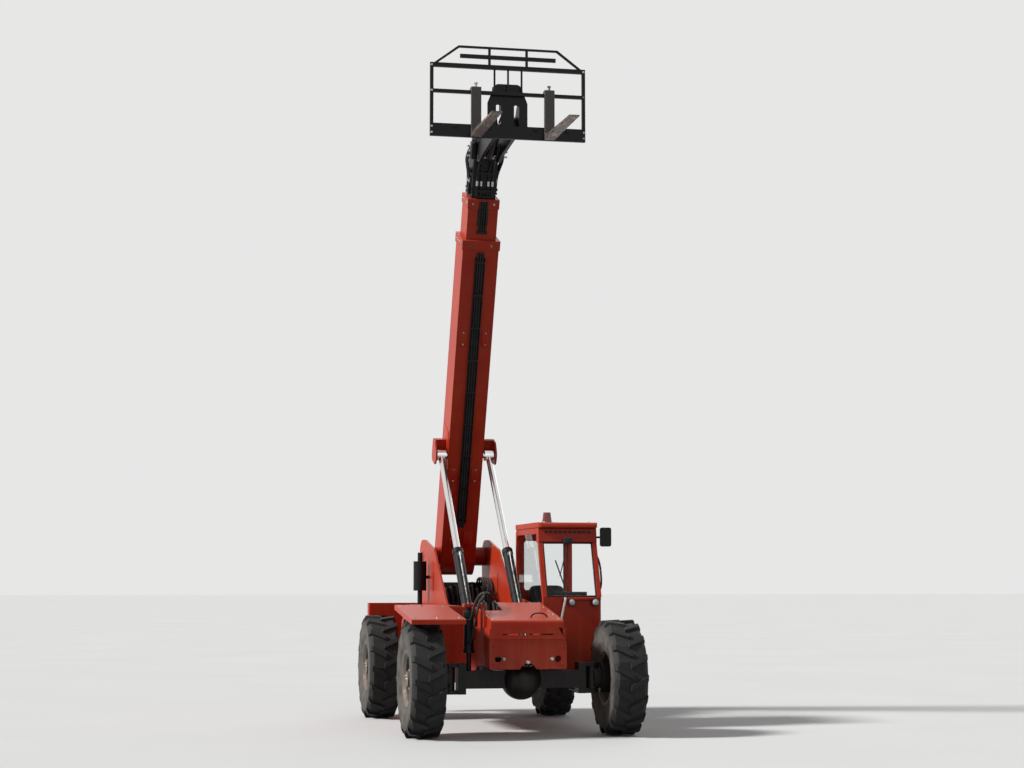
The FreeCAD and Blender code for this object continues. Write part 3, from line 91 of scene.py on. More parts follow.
# %% [markdown]
# The photograph was taken by someone standing in front of the machine, a little to its right, with the
# camera at eye height. We stand at the same distance and height and aim at the machine's middle, so
# every line leans as it does there. Only the lens is longer, so that the tall machine fills the picture.

# %% Camera
eye_height = 1.7
eye_distance = 22.0
eye_azimuth = math.radians(-12.0)
frame_margin = 1.09
eye = Vector((
    eye_distance * math.sin(eye_azimuth),
    front_hub.y - eye_distance * math.cos(eye_azimuth),
    eye_height,
))
foot_angle = math.atan2(-eye.z, eye_distance)
top_angle = math.atan2(solid_high.z - eye.z, eye_distance)
aim_angle = (foot_angle + top_angle) / 2
aim = Vector((-0.1, front_hub.y, eye.z + eye_distance * math.tan(aim_angle)))
half_height = math.tan((top_angle - foot_angle) / 2) * frame_margin
camera_data = bpy.data.cameras.new("eye")
camera_data.sensor_width = 36.0
camera_data.lens = camera_data.sensor_width / 2 * (768 / 1024) / half_height
camera = bpy.data.objects.new("eye", camera_data)
camera.location = eye
camera.rotation_mode = "QUATERNION"
camera.rotation_quaternion = (aim - eye).to_track_quat("-Z", "Y")
bpy.context.scene.collection.objects.link(camera)
bpy.context.scene.camera = camera
print("lens", round(camera_data.lens, 1), "mm")

# %% [markdown]
# The studio is a pale floor under an even pale sky, with one broad lamp to the left, where the sun stood
# in the photograph. The sky gives a little under half of the light, so the faces that look left are
# bright and the front stays a deeper red, as in the picture, and nothing goes black.

# %% Floor, sky and lamps
floor_size = 400.0
floor_mesh = bpy.data.meshes.new("floor")
half = floor_size / 2
floor_mesh.from_pydata([(-half, -half, 0), (half, -half, 0), (half, half, 0), (-half, half, 0)], [], [(0, 1, 2, 3)])
floor = bpy.data.objects.new("floor", floor_mesh)
floor.location.z = -0.001
bpy.context.scene.collection.objects.link(floor)

backdrop_colour = (0.80, 0.80, 0.795, 1.0)
sky_light = 0.23
world = bpy.data.worlds.new("studio")
bpy.context.scene.world = world
world.use_nodes = True
sky = world.node_tree
sky.nodes["Background"].inputs["Color"].default_value = (0.97, 0.98, 1.0, 1.0)
sky.nodes["Background"].inputs["Strength"].default_value = sky_light
seen = sky.nodes.new("ShaderNodeBackground")
seen.inputs["Color"].default_value = backdrop_colour
seen.inputs["Strength"].default_value = 1.0
path = sky.nodes.new("ShaderNodeLightPath")
either = sky.nodes.new("ShaderNodeMath")
either.operation = "MAXIMUM"
sky.links.new(path.outputs["Is Camera Ray"], either.inputs[0])
sky.links.new(path.outputs["Is Transmission Ray"], either.inputs[1])
any_of_three = sky.nodes.new("ShaderNodeMath")
any_of_three.operation = "MAXIMUM"
sky.links.new(either.outputs[0], any_of_three.inputs[0])
sky.links.new(path.outputs["Is Glossy Ray"], any_of_three.inputs[1])
choice = sky.nodes.new("ShaderNodeMixShader")
sky.links.new(any_of_three.outputs[0], choice.inputs[0])
sky.links.new(sky.nodes["Background"].outputs[0], choice.inputs[1])
sky.links.new(seen.outputs[0], choice.inputs[2])
sky.links.new(choice.outputs[0], sky.nodes["World Output"].inputs["Surface"])


def sun(name, strength, towards, spread):
    """A broad, soft lamp whose light travels from a direction."""
    data = bpy.data.lights.new(name, "SUN")
    data.energy = strength
    data.angle = math.radians(spread)
    lamp = bpy.data.objects.new(name, data)
    lamp.rotation_mode = "QUATERNION"
    lamp.rotation_quaternion = Vector(towards).to_track_quat("Z", "Y")
    bpy.context.scene.collection.objects.link(lamp)
    return lamp


sun("key", 3.8, (-1.0, -0.06, 0.72), 10.0)
sun("front_fill", 0.12, (0.35, -1.0, 0.5), 40.0)
sun("back_fill", 0.45, (0.5, 1.0, 0.6), 40.0)
print("lamps", [lamp.name for lamp in bpy.data.lights])

# %% [markdown]
# Every finish is a small network of shader nodes. Drawing one by hand is slow to read, so we let Python
# write it: a Signal stands for one socket, and adding or multiplying signals adds the Math nodes that
# do it. Colours never go through Math, which would turn them grey. They go through Mix.

# %% A small language for finishes


class Signal:
    """One socket's value. Arithmetic on signals adds Math nodes."""

    def __init__(self, finish, socket):
        self.finish = finish
        self.socket = socket

    def maths(self, operation, first, second=0.0):
        return self.finish.node("ShaderNodeMath", {"operation": operation}, {0: first, 1: second})

    def __add__(self, other):
        return self.maths("ADD", self, other)

    def __radd__(self, other):
        return self.maths("ADD", other, self)

    def __sub__(self, other):
        return self.maths("SUBTRACT", self, other)

    def __rsub__(self, other):
        return self.maths("SUBTRACT", other, self)

    def __mul__(self, other):
        return self.maths("MULTIPLY", self, other)

    def __rmul__(self, other):
        return self.maths("MULTIPLY", other, self)

    def __truediv__(self, other):
        return self.maths("DIVIDE", self, other)

    def __pow__(self, other):
        return self.maths("POWER", self, other)

    def larger(self, other):
        return self.maths("MAXIMUM", self, other)

    def smaller(self, other):
        return self.maths("MINIMUM", self, other)

    def between(self, low, high):
        """0 below low and 1 above high, with a straight slope in between."""
        return self.finish.node(
            "ShaderNodeMapRange", {"clamp": True}, {"Value": self, "From Min": low, "From Max": high}
        )


class Finish:
    """A material under construction, with its Principled shader."""

    def __init__(self, name, **constants):
        self.material = bpy.data.materials.new(name)
        self.material.use_nodes = True
        self.tree = self.material.node_tree
        self.shader = self.tree.nodes["Principled BSDF"]
        for label, value in constants.items():
            self.shader.inputs[label.replace("_", " ")].default_value = value

    def node(self, kind, settings, inputs, output=0):
        """Adds any node: its settings first, then the values or links of its sockets."""
        made = self.tree.nodes.new(kind)
        for label, value in settings.items():
            if label == "stops":
                ramp = made.color_ramp.elements
                for i, (place, colour) in enumerate(value):
                    stop = ramp[i] if i < 2 else ramp.new(place)
                    stop.position = place
                    stop.color = colour
            else:
                setattr(made, label, value)
        for label, value in inputs.items():
            if isinstance(value, Signal):
                self.tree.links.new(value.socket, made.inputs[label])
            else:
                made.inputs[label].default_value = value
        return Signal(self, made.outputs[output])

    def feed(self, **signals):
        """Links signals to the Principled shader's sockets."""
        for label, signal in signals.items():
            self.tree.links.new(signal.socket, self.shader.inputs[label.replace("_", " ")])

    def place(self):
        """Where on the machine a point lies, in metres."""
        return self.node("ShaderNodeTexCoord", {}, {}, "Object")

    def facing_up(self):
        """1 on surfaces that look at the sky, 0 on the others."""
        normal = self.node("ShaderNodeTexCoord", {}, {}, "Normal")
        return self.node("ShaderNodeSeparateXYZ", {}, {0: normal}, "Z").between(0.35, 0.95)

    def height(self):
        return self.node("ShaderNodeSeparateXYZ", {}, {0: self.place()}, "Z")

    def noise(self, scale, detail=3.0, roughness=0.55, stretch=None):
        """Cloudy noise from 0 to 1, with about scale clouds in a metre."""
        place = self.place()
        if stretch:
            place = self.node("ShaderNodeMapping", {}, {"Vector": place, "Scale": stretch})
        return self.node(
            "ShaderNodeTexNoise", {}, {"Vector": place, "Scale": scale, "Detail": detail, "Roughness": roughness}
        )

    def mix(self, amount, first, second):
        """A colour between two colours."""
        return self.node("ShaderNodeMix", {"data_type": "RGBA"}, {0: amount, 6: first, 7: second}, 2)

    def rounded(self, radius):
        """A normal that looks rounded near sharp edges."""
        return self.node("ShaderNodeBevel", {"samples": 4}, {"Radius": radius})

    def edges(self, normal):
        """1 along the edges that the rounded normal finds, 0 on the flats."""
        flat = self.node("ShaderNodeNewGeometry", {}, {}, "Normal")
        along = self.node("ShaderNodeVectorMath", {"operation": "DOT_PRODUCT"}, {0: normal, 1: flat}, "Value")
        return (1.0 - along).between(0.02, 0.22)

    def bump(self, height, distance, strength=1.0, normal=None):
        inputs = {"Height": height, "Distance": distance, "Strength": strength}
        if normal:
            inputs["Normal"] = normal
        return self.node("ShaderNodeBump", {}, inputs)


# A tan for dust; on the enamel's top faces it also serves as a painted sheen.
dust_and_sheen_tan = (0.30, 0.22, 0.17, 1.0)
print("the language knows", [name for name in vars(Finish) if not name.startswith("_")])

# %% [markdown]
# The body is sprayed with a thick red-orange enamel that has stood outdoors for years. Its colour has
# faded in soft clouds, it is chipped and dark along its edges, and dust clings to what is near the ground.
# What faces up turns tan too, partly from real dust and partly as a painted sheen, the pale glare of a top face.
# The clear top of the enamel still shines, so it gets a thin coat.

# %% Enamel for body, boom and cab


def enamel(name, fresh, faded, chipped, shine, dust_and_painted_light=0.55):
    finish = Finish(name, IOR=1.45, Specular_IOR_Level=0.22, Coat_Weight=0.25 * shine, Coat_Roughness=0.18)
    clouds = finish.noise(1.3, 5.0, 0.6)
    grain = finish.noise(38.0, 4.0, 0.6)
    streaks = finish.noise(9.0, 4.0, 0.6, (1.0, 1.0, 0.12))
    worn_normal = finish.rounded(0.006)
    worn = finish.edges(worn_normal)
    chips = (worn * grain.between(0.42, 0.62) * clouds.between(0.35, 0.75)).smaller(1.0)
    low = 1.0 - finish.height().between(0.35, 1.25)
    # Up-facing surfaces: real dust plus a painted sheen, a paler tan where glare would fall.
    top_dust_and_sheen = finish.facing_up() * grain.between(0.30, 0.75)
    dust_and_top_sheen = (top_dust_and_sheen * 0.55 + low * streaks.between(0.35, 0.75)) * dust_and_painted_light
    fade = clouds.between(0.35, 0.70) * 0.5 + streaks.between(0.45, 0.8) * 0.35
    colour = finish.mix(fade.smaller(1.0), fresh, faded)
    colour = finish.mix(dust_and_top_sheen.smaller(0.9), colour, dust_and_sheen_tan)
    colour = finish.mix(chips * 0.85, colour, chipped)
    rough = 0.36 + grain * 0.10 + dust_and_top_sheen * 0.45 + chips * 0.30 + fade * 0.10
    ripple = finish.noise(55.0, 2.0, 0.5)
    normal = finish.bump(ripple * 0.6 - chips * 1.5, 0.0008, 0.5, worn_normal)
    finish.feed(Base_Color=colour, Roughness=rough, Normal=normal)
    return finish.material


body_enamel = enamel(
    "body_enamel", (0.39, 0.020, 0.008, 1.0), (0.52, 0.064, 0.014, 1.0), (0.035, 0.022, 0.020, 1.0), 0.30, 0.36
)
black_enamel = enamel(
    "black_enamel", (0.004, 0.004, 0.005, 1.0), (0.008, 0.008, 0.009, 1.0), (0.07, 0.052, 0.040, 1.0), 0.2, 0.14
)
print("enamel nodes", len(body_enamel.node_tree.nodes))

# %% [markdown]
# Four more metals: the forks' forged steel, polished brown and bright where loads slide over it, the
# greased pins, the sooty castings of the axles, and the hard chrome of the cylinder rods, which must
# stay smooth or its seals would leak.

# %% Metals


def fork_steel_finish():
    finish = Finish("fork_forging", IOR=1.5)
    scratches = finish.noise(14.0, 5.0, 0.7, (7.0, 0.5, 7.0))
    clouds = finish.noise(3.0, 5.0, 0.6)
    worn_normal = finish.rounded(0.005)
    worn = finish.edges(worn_normal)
    shank = finish.height().between(6.80, 6.86)
    bare = (scratches.between(0.46, 0.60) * clouds.between(0.34, 0.54) * (1.0 - shank * 0.85) + worn * 0.7).smaller(1.0)
    rust = clouds.between(0.55, 0.75) * 0.6
    colour = finish.mix(rust, (0.022, 0.021, 0.021, 1.0), (0.12, 0.055, 0.028, 1.0))
    colour = finish.mix(bare, colour, (0.40, 0.29, 0.23, 1.0))
    finish.feed(
        Base_Color=colour,
        Metallic=bare * 0.85,
        Roughness=0.52 - bare * 0.17 + rust * 0.2,
        Normal=finish.bump(scratches - clouds * 0.4, 0.001, 0.4, worn_normal),
    )
    return finish.material


def pin_steel_finish():
    finish = Finish("greased_steel", Metallic=0.9, IOR=1.5)
    turned = finish.noise(120.0, 2.0, 0.5, (3.0, 1.0, 1.0))
    grease = finish.noise(11.0, 4.0, 0.6).between(0.48, 0.66)
    colour = finish.mix(grease, (0.42, 0.41, 0.40, 1.0), (0.07, 0.055, 0.04, 1.0))
    finish.feed(
        Base_Color=colour,
        Roughness=0.34 + turned * 0.12 - grease * 0.08,
        Normal=finish.bump(turned, 0.0004, 0.3, finish.rounded(0.003)),
    )
    return finish.material


def casting_finish():
    finish = Finish("axle_casting", IOR=1.5, Specular_IOR_Level=0.22)
    sand = finish.noise(160.0, 3.0, 0.6)
    clouds = finish.noise(4.5, 5.0, 0.65)
    streaks = finish.noise(11.0, 4.0, 0.6, (1.0, 1.0, 0.2))
    worn_normal = finish.rounded(0.008)
    mud = (clouds.between(0.42, 0.68) * 0.6 + finish.facing_up() * 0.4).smaller(1.0)
    oily = streaks.between(0.55, 0.7) * 0.7
    colour = finish.mix(mud, (0.012, 0.014, 0.018, 1.0), (0.070, 0.056, 0.044, 1.0))
    colour = finish.mix(oily, colour, (0.012, 0.012, 0.013, 1.0))
    finish.feed(
        Base_Color=colour,
        Roughness=0.55 + mud * 0.3 - oily * 0.25,
        Normal=finish.bump(sand + clouds * 0.8, 0.0012, 0.6, worn_normal),
    )
    return finish.material


def chrome_finish():
    finish = Finish("hard_chrome", Metallic=1.0, IOR=2.5)
    film = finish.noise(6.0, 3.0, 0.5, (1.0, 1.0, 0.3))
    ground = finish.noise(300.0, 2.0, 0.5, (1.0, 1.0, 0.05))
    colour = finish.mix(film.between(0.4, 0.7) * 0.35, (0.80, 0.80, 0.81, 1.0), (0.58, 0.54, 0.48, 1.0))
    finish.feed(
        Base_Color=colour,
        Roughness=0.11 + film * 0.10,
        Normal=finish.bump(ground, 0.0001, 0.15),
    )
    return finish.material


fork_forging = fork_steel_finish()
greased_steel = pin_steel_finish()
axle_casting = casting_finish()
hard_chrome = chrome_finish()
print("metals", [metal.name for metal in (fork_forging, greased_steel, axle_casting, hard_chrome)])

# %% [markdown]
# Rubber turns brown-grey with dust. On a tyre the dust stays between the lugs and on the side walls,
# while the tips of the lugs are rubbed dark. The side walls are painted much paler than the tread: partly
# real dust, partly painted sunlight, the bright grey of a sunlit side wall. The distance from the hub tells tip
# from groove, so the finish measures it, and needs the hub's place. Rims are dark enamel under road dirt.

# %% Tyres and rims


def tyre_finish(name, hub):
    finish = Finish(name, IOR=1.5, Specular_IOR_Level=0.22)
    from_hub = finish.node("ShaderNodeVectorMath", {"operation": "SUBTRACT"}, {0: finish.place(), 1: hub})
    flat = finish.node("ShaderNodeVectorMath", {"operation": "MULTIPLY"}, {0: from_hub, 1: (0.0, 1.0, 1.0)})
    radius = finish.node("ShaderNodeVectorMath", {"operation": "LENGTH"}, {0: flat}, "Value")
    clouds = finish.noise(5.0, 5.0, 0.6)
    crumbs = finish.noise(90.0, 4.0, 0.7)
    tip = radius.between(tyre_radius - 0.012, tyre_radius - 0.002)
    wall = 1.0 - radius.between(tyre_radius - 0.14, tyre_radius - 0.05)
    # Side walls: real dust plus painted sunlight, far paler than the tread, as a sunlit wall looks.
    dust_and_painted_light = (crumbs.between(0.3, 0.7) * (0.26 - tip * 0.20) + wall * clouds.between(0.25, 0.60) * 0.80).smaller(0.85)
    colour = finish.mix(clouds, (0.012, 0.013, 0.015, 1.0), (0.022, 0.022, 0.024, 1.0))
    colour = finish.mix(dust_and_painted_light, colour, (0.150, 0.137, 0.118, 1.0))
    rings = finish.node("ShaderNodeMath", {"operation": "PINGPONG"}, {0: radius, 1: 0.007})
    ribbing = (rings * 140.0).smaller(1.0) * wall
    finish.feed(
        Base_Color=colour,
        Roughness=0.72 + dust_and_painted_light * 0.2 - tip * 0.1,
        Normal=finish.bump(crumbs * 0.7 + ribbing * 0.5, 0.002, 0.55, finish.rounded(0.008)),
    )
    return finish.material


rim_enamel = enamel(
    "rim_enamel", (0.085, 0.078, 0.072, 1.0), (0.15, 0.135, 0.12, 1.0), (0.10, 0.055, 0.03, 1.0), 0.5, 1.0
)
tyre_finishes = {
    "front": tyre_finish("front_tyre_rubber", tuple(front_hub)),
    "rear": tyre_finish("rear_tyre_rubber", tuple(rear_hub)),
}
print("rubbers", [rubber.name for rubber in tyre_finishes.values()])

# %% [markdown]
# The driver's place is black vinyl and moulded plastic with a fine pebbled grain, and the lamp on the
# roof is a coloured lens.

# %% Plastics, vinyl and lenses


def plastic_finish(name, colour, rough, grain_scale, depth):
    finish = Finish(name, IOR=1.46, Specular_IOR_Level=0.22)
    grain = finish.node(
        "ShaderNodeTexVoronoi", {"feature": "SMOOTH_F1"}, {"Vector": finish.place(), "Scale": grain_scale}
    )
    clouds = finish.noise(6.0, 4.0, 0.6)
    dusty = finish.facing_up() * clouds.between(0.3, 0.7) * 0.45
    lighter = tuple(min(1.0, part * 1.7 + 0.01) for part in colour[:3]) + (1.0,)
    shade = finish.mix(clouds.between(0.35, 0.7), colour, lighter)
    finish.feed(
        Base_Color=finish.mix(dusty, shade, dust_and_sheen_tan),
        Roughness=rough + clouds * 0.12 + dusty * 0.2,
        Normal=finish.bump(grain, depth, 0.6, finish.rounded(0.004)),
    )
    return finish.material


def lens_finish(name, colour):
    finish = Finish(name, IOR=1.49, Coat_Weight=0.6, Coat_Roughness=0.08)
    flutes = finish.node(
        "ShaderNodeTexWave", {"bands_direction": "X"}, {"Vector": finish.place(), "Scale": 28.0}
    )
    haze = finish.noise(12.0, 3.0, 0.5)
    deep = tuple(part * 0.55 for part in colour[:3]) + (1.0,)
    finish.feed(
        Base_Color=finish.mix(flutes, deep, colour),
        Roughness=0.14 + haze * 0.15,
        Normal=finish.bump(flutes, 0.002, 0.5),
    )
    return finish.material


def glass_finish():
    finish = Finish("window_glass", IOR=1.12, Transmission_Weight=1.0)
    film = finish.noise(2.2, 4.0, 0.6)
    finish.feed(
        Base_Color=finish.mix(film, (0.95, 0.97, 0.965, 1.0), (0.90, 0.93, 0.92, 1.0)),
        Roughness=film.between(0.45, 0.9) * 0.03,
    )
    return finish.material


window_glass = glass_finish()
seat_vinyl = plastic_finish("seat_vinyl", (0.020, 0.020, 0.022, 1.0), 0.42, 420.0, 0.0006)
cab_plastic = plastic_finish("cab_plastic", (0.022, 0.022, 0.024, 1.0), 0.55, 650.0, 0.0004)
hose_rubber = plastic_finish("hose_rubber", (0.012, 0.012, 0.013, 1.0), 0.50, 300.0, 0.0003)
red_lens = lens_finish("red_lens", (0.22, 0.010, 0.008, 1.0))
clear_lens = lens_finish("clear_lens", (0.78, 0.79, 0.78, 1.0))
print("materials so far", len(bpy.data.materials))

# %% [markdown]
# A pale floor finish, matched to the backdrop so that the horizon hardly shows. It keeps a trace of
# cloudiness. A floor as pale as this would throw a lot of light back up, and the front of the machine
# would lose its depth, so the Light Path node makes it darker for the light that bounces off it.

# %% Floor finish
floor_finish = Finish("pale_floor", Roughness=1.0, Specular_IOR_Level=0.03)
floor_tone = floor_finish.noise(0.35, 3.0, 0.5)
floor_seen = floor_finish.mix(floor_tone, (0.70, 0.70, 0.69, 1.0), (0.76, 0.76, 0.75, 1.0))
is_diffuse = floor_finish.node("ShaderNodeLightPath", {}, {}, "Is Diffuse Ray")
floor_finish.feed(Base_Color=floor_finish.mix(is_diffuse, floor_seen, (0.28, 0.28, 0.28, 1.0)))
floor_mesh.materials.append(floor_finish.material)
print("floor", round(floor_size), "m wide")

# %% [markdown]
# Now every solid gets the finish of its kind. The record names a material slot for each solid, and the
# table below says which finish stands for which slot.

# %% Finishes onto the solids
slot_finishes = {
    "body_paint": body_enamel,
    "black_paint": black_enamel,
    "fork_steel": fork_forging,
    "pin_steel": greased_steel,
    "cast_iron": axle_casting,
    "chrome": hard_chrome,
    "seat_vinyl": seat_vinyl,
    "cab_plastic": cab_plastic,
    "lens": red_lens,
    "cab_glazing": window_glass,
    "rim_paint": rim_enamel,
}


def give(piece, finish):
    """Puts one finish on the whole piece."""
    piece.data.materials.clear()
    piece.data.materials.append(finish)


for part in frame["record"]["subparts"]:
    node = part["node"]
    if part["material_slot"] == "tyre":
        give(nodes[node], tyre_finishes["front" if "front" in node else "rear"])
    else:
        give(nodes[node], slot_finishes[part["material_slot"]])

# %% [markdown]
# The rest is what the maker bolts on. Most of it is bolts, rods and small boxes, so four helpers make
# them. Each helper returns one piece that already wears its finish and rides on the body that carries it,
# because a piece that rides on the wrong body would stay behind when the boom goes up.

# %% Helpers for small pieces
X = Vector((1.0, 0.0, 0.0))
Y = Vector((0.0, 1.0, 0.0))
Z = Vector((0.0, 0.0, 1.0))


def finished(name, mesh, finish, body, smooth=True):
    """An object from a mesh, with its finish and its body."""
    piece = bpy.data.objects.new(name, mesh)
    bpy.context.scene.collection.objects.link(piece)
    mesh.materials.append(finish)
    if smooth:
        for face in mesh.polygons:
            face.use_smooth = True
        mesh.set_sharp_from_angle(angle=math.radians(35))
    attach(piece, body)
    return piece


def frame_along(direction):
    """A rotation whose Z axis lies along a direction."""
    return direction.to_track_quat("Z", "Y").to_matrix().to_4x4()


def lathe(name, profiles, finish, body, sides=24, hollow=False):
    """Turned solids in one piece: each is (place, direction, ((distance along, radius), ...)).

    A hollow one is a ring: its last circle joins its first, and it has no end caps.
    """
    shape = bmesh.new()
    for place, direction, profile in profiles:
        turn = Matrix.Translation(place) @ frame_along(direction)
        rings = []
        for along, radius in profile:
            ring = []
            for i in range(sides):
                angle = 2 * math.pi * i / sides
                ring.append(shape.verts.new(turn @ Vector((radius * math.cos(angle), radius * math.sin(angle), along))))
            rings.append(ring)
        if hollow:
            rings.append(rings[0])
        for low, high in zip(rings, rings[1:]):
            for i in range(sides):
                shape.faces.new((low[i], low[(i + 1) % sides], high[(i + 1) % sides], high[i]))
        if not hollow:
            shape.faces.new(list(reversed(rings[0])))
            shape.faces.new(rings[-1])
    mesh = bpy.data.meshes.new(name)
    shape.to_mesh(mesh)
    shape.free()
    return finished(name, mesh, finish, body)


def bolts(name, places, direction, across, finish, body):
    """Hexagon heads with washers, all in one piece, sunk a little into what they hold."""
    shape = bmesh.new()
    for i, place in enumerate(places):
        turn = Matrix.Translation(place) @ frame_along(direction) @ Matrix.Rotation(0.7 * i, 4, "Z")
        for sides, radius, low, high in ((20, across * 0.62, -0.004, 0.003), (6, across * 0.5, 0.0, 0.003 + across * 0.38)):
            rings = []
            for z, shrink in ((low, 1.0), (high - 0.12 * across, 1.0), (high, 0.86)):
                ring = []
                for k in range(sides):
                    angle = 2 * math.pi * k / sides
                    spot = Vector((radius * shrink * math.cos(angle), radius * shrink * math.sin(angle), z))
                    ring.append(shape.verts.new(turn @ spot))
                rings.append(ring)
            for low_ring, high_ring in zip(rings, rings[1:]):
                for k in range(sides):
                    after = (k + 1) % sides
                    shape.faces.new((low_ring[k], low_ring[after], high_ring[after], high_ring[k]))
            shape.faces.new(rings[-1])
    mesh = bpy.data.meshes.new(name)
    shape.to_mesh(mesh)
    shape.free()
    return finished(name, mesh, finish, body)


def boxes(name, sizes, finish, body, bevel=0.004, turn=None):
    """Boxes with softened edges in one piece: each is (centre, (length X, length Y, length Z))."""
    shape = bmesh.new()
    for centre, lengths in sizes:
        made = bmesh.ops.create_cube(shape, size=1.0)["verts"]
        spin = turn.to_4x4() if turn else Matrix.Identity(4)
        bmesh.ops.transform(shape, matrix=Matrix.Translation(centre) @ spin @ Matrix.Diagonal((*lengths, 1.0)), verts=made)
    if bevel:
        bmesh.ops.bevel(shape, geom=shape.edges[:], offset=bevel, segments=2, affect="EDGES", profile=0.5)
    mesh = bpy.data.meshes.new(name)
    shape.to_mesh(mesh)
    shape.free()
    return finished(name, mesh, finish, body)


def pipes(name, routes, radius, finish, body, closed=False):
    """Round bars, pipes or fitted hoses through routes of points, with smooth bends, in one piece."""
    curve = bpy.data.curves.new(name, "CURVE")
    curve.dimensions = "3D"
    curve.bevel_depth = radius
    curve.bevel_resolution = 3
    curve.resolution_u = 6
    curve.use_fill_caps = True
    for route in routes:
        spline = curve.splines.new("NURBS")
        spline.points.add(len(route) - 1)
        for point, place in zip(spline.points, route):
            point.co = (*place, 1.0)
        spline.order_u = 3
        spline.use_endpoint_u = not closed
        spline.use_cyclic_u = closed
    curve.materials.append(finish)
    piece = bpy.data.objects.new(name, curve)
    bpy.context.scene.collection.objects.link(piece)
    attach(piece, body)
    return piece


# %% [markdown]
# Each wheel is held by a ring of nuts between its hand holes, and the planetary hub has its own ring of
# smaller bolts and a plug in the middle. The two sides of the machine differ only in the sign of X.

# %% Wheel nuts, hub bolts and valves
disc_face = 0.046
hub_face = 0.120
cap_face = 0.160
nut_circle = 0.168
hub_circle = 0.120
steel_bolts = pin_steel_finish()
steel_bolts.name = "bolt_steel"

for end, hub in (("front", front_hub), ("rear", rear_hub)):
    for side, sign in (("left", 1.0), ("right", -1.0)):
        wheel_x = wheel_middle[side]
        body = f"wheel_{end}_{side}"
        name = f"{end}_{side}"

        def around(circle, angle, out):
            return Vector((wheel_x + sign * out, hub.y + circle * math.cos(angle), hub.z + circle * math.sin(angle)))

        nut_angles = [math.radians(60 * i + lean) for i in range(6) for lean in (-12, 12)]
        nuts = [around(nut_circle, angle, disc_face) for angle in nut_angles]
        bolts(f"wheel_nuts_{name}", nuts, sign * X, 0.030, steel_bolts, body)
        hub_bolts = [around(hub_circle, math.radians(36 * i + 10), hub_face) for i in range(10)]
        bolts(f"hub_bolts_{name}", hub_bolts, sign * X, 0.019, steel_bolts, body)
        bolts(f"hub_plug_{name}", [around(0.0, 0.0, cap_face), around(0.055, 0.6, cap_face)], sign * X, 0.028, steel_bolts, body)
        stem = around(0.242, 1.05, disc_face - 0.002)
        lathe(f"valve_{name}", [(stem, sign * X, ((0, 0.008), (0.03, 0.007), (0.032, 0.005), (0.05, 0.005)))], greased_steel, body, 12)
print("nuts on a wheel", len(nuts), "bolts on a hub", len(hub_bolts))

# %% [markdown]
# The nose plate has two big tie-down holes, which are cut in the solid, and three bolts between them.
# The levelling cylinder beside it is fed by two black hoses that come out of the open corner of the deck.

# %% Nose, deck and levelling cylinder
plate_low, plate_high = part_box("front_plate")
plate_face = plate_low.y + 0.010
tie_height = 0.85
bolts(
    "nose_bolts",
    [Vector((-0.265, plate_face, tie_height)), Vector((0.0, plate_face, tie_height - 0.035)), Vector((0.265, plate_face, tie_height))],
    -Y, 0.036, steel_bolts, "chassis",
)
corner_bolts = [Vector((x, plate_face, z)) for x in (-0.38, 0.38) for z in (0.79, 0.98)]
bolts("nose_corner_bolts", corner_bolts, -Y, 0.022, body_enamel, "chassis")

deck_low, deck_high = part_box("nose_deck")
deck_rise = (deck_high.z - 1.260) / (deck_high.y - deck_low.y)


def on_deck(x, from_front):
    return Vector((x, deck_low.y + from_front, 1.260 + deck_rise * from_front))


deck_bolts = [on_deck(x, along) for x in (-0.36, 0.36) for along in (0.08, 0.34, 0.56)] + [on_deck(0.36, 0.82), on_deck(0.36, 1.09)]
bolts("deck_bolts", deck_bolts, Z, 0.020, steel_bolts, "chassis")
pipes(
    "deck_handle",
    [[on_deck(0.08, 0.20) - Z * 0.01, on_deck(0.08, 0.20) + Z * 0.045, on_deck(0.26, 0.20) + Z * 0.045, on_deck(0.26, 0.20) - Z * 0.01]],
    0.008, black_enamel, "chassis",
)

sway = middle("sway_cylinder")
sway_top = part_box("sway_cylinder")[1].z
lathe(
    "levelling_gland",
    [
        (Vector((sway.x, sway.y, sway_top - 0.06)), Z, ((-0.05, 0.062), (-0.045, 0.066), (0.01, 0.066), (0.02, 0.058))),
        (Vector((sway.x, sway.y, 0.90)), Z, ((0.0, 0.058), (0.005, 0.064), (0.05, 0.064), (0.055, 0.058))),
        (Vector((sway.x, sway.y - 0.045, sway_top - 0.14)), -Y, ((0.0, 0.020), (0.03, 0.020), (0.03, 0.014), (0.05, 0.014))),
        (Vector((sway.x, sway.y - 0.045, 1.02)), -Y, ((0.0, 0.020), (0.03, 0.020), (0.03, 0.014), (0.05, 0.014))),
    ],
    black_enamel, "chassis",
)
notch = on_deck(-0.27, 0.86)
pipes(
    "levelling_hoses",
    [
        [
            Vector((sway.x, sway.y - 0.08, z)), Vector((sway.x, sway.y - 0.15, z)), Vector((sway.x + 0.03, sway.y - 0.17, z + 0.18)),
            Vector((sway.x + 0.10, sway.y - 0.10, top)), Vector((sway.x + 0.17, sway.y + 0.10, top + 0.02)),
            notch + Vector((shift, -0.02, 0.16)), notch + Vector((shift + 0.02, 0.08, -0.05)), notch + Vector((shift + 0.02, 0.14, -0.25)),
        ]
        for z, top, shift in ((1.02, 1.47, -0.03), (sway_top - 0.14, 1.53, 0.03))
    ],
    0.014, hose_rubber, "chassis",
)
pipes(
    "deck_hoses",
    [
        [
            on_deck(x, 0.70) - Z * 0.18, on_deck(x, 0.74) + Z * 0.02, on_deck(x + 0.01, 0.92) + Z * rise,
            on_deck(x + 0.03, 1.12) + Z * 0.02, on_deck(x + 0.03, 1.25) - Z * 0.25,
        ]
        for x, rise in ((-0.34, 0.030), (-0.30, 0.045), (-0.22, 0.035), (-0.18, 0.045))
    ],
    0.013, hose_rubber, "chassis",
)

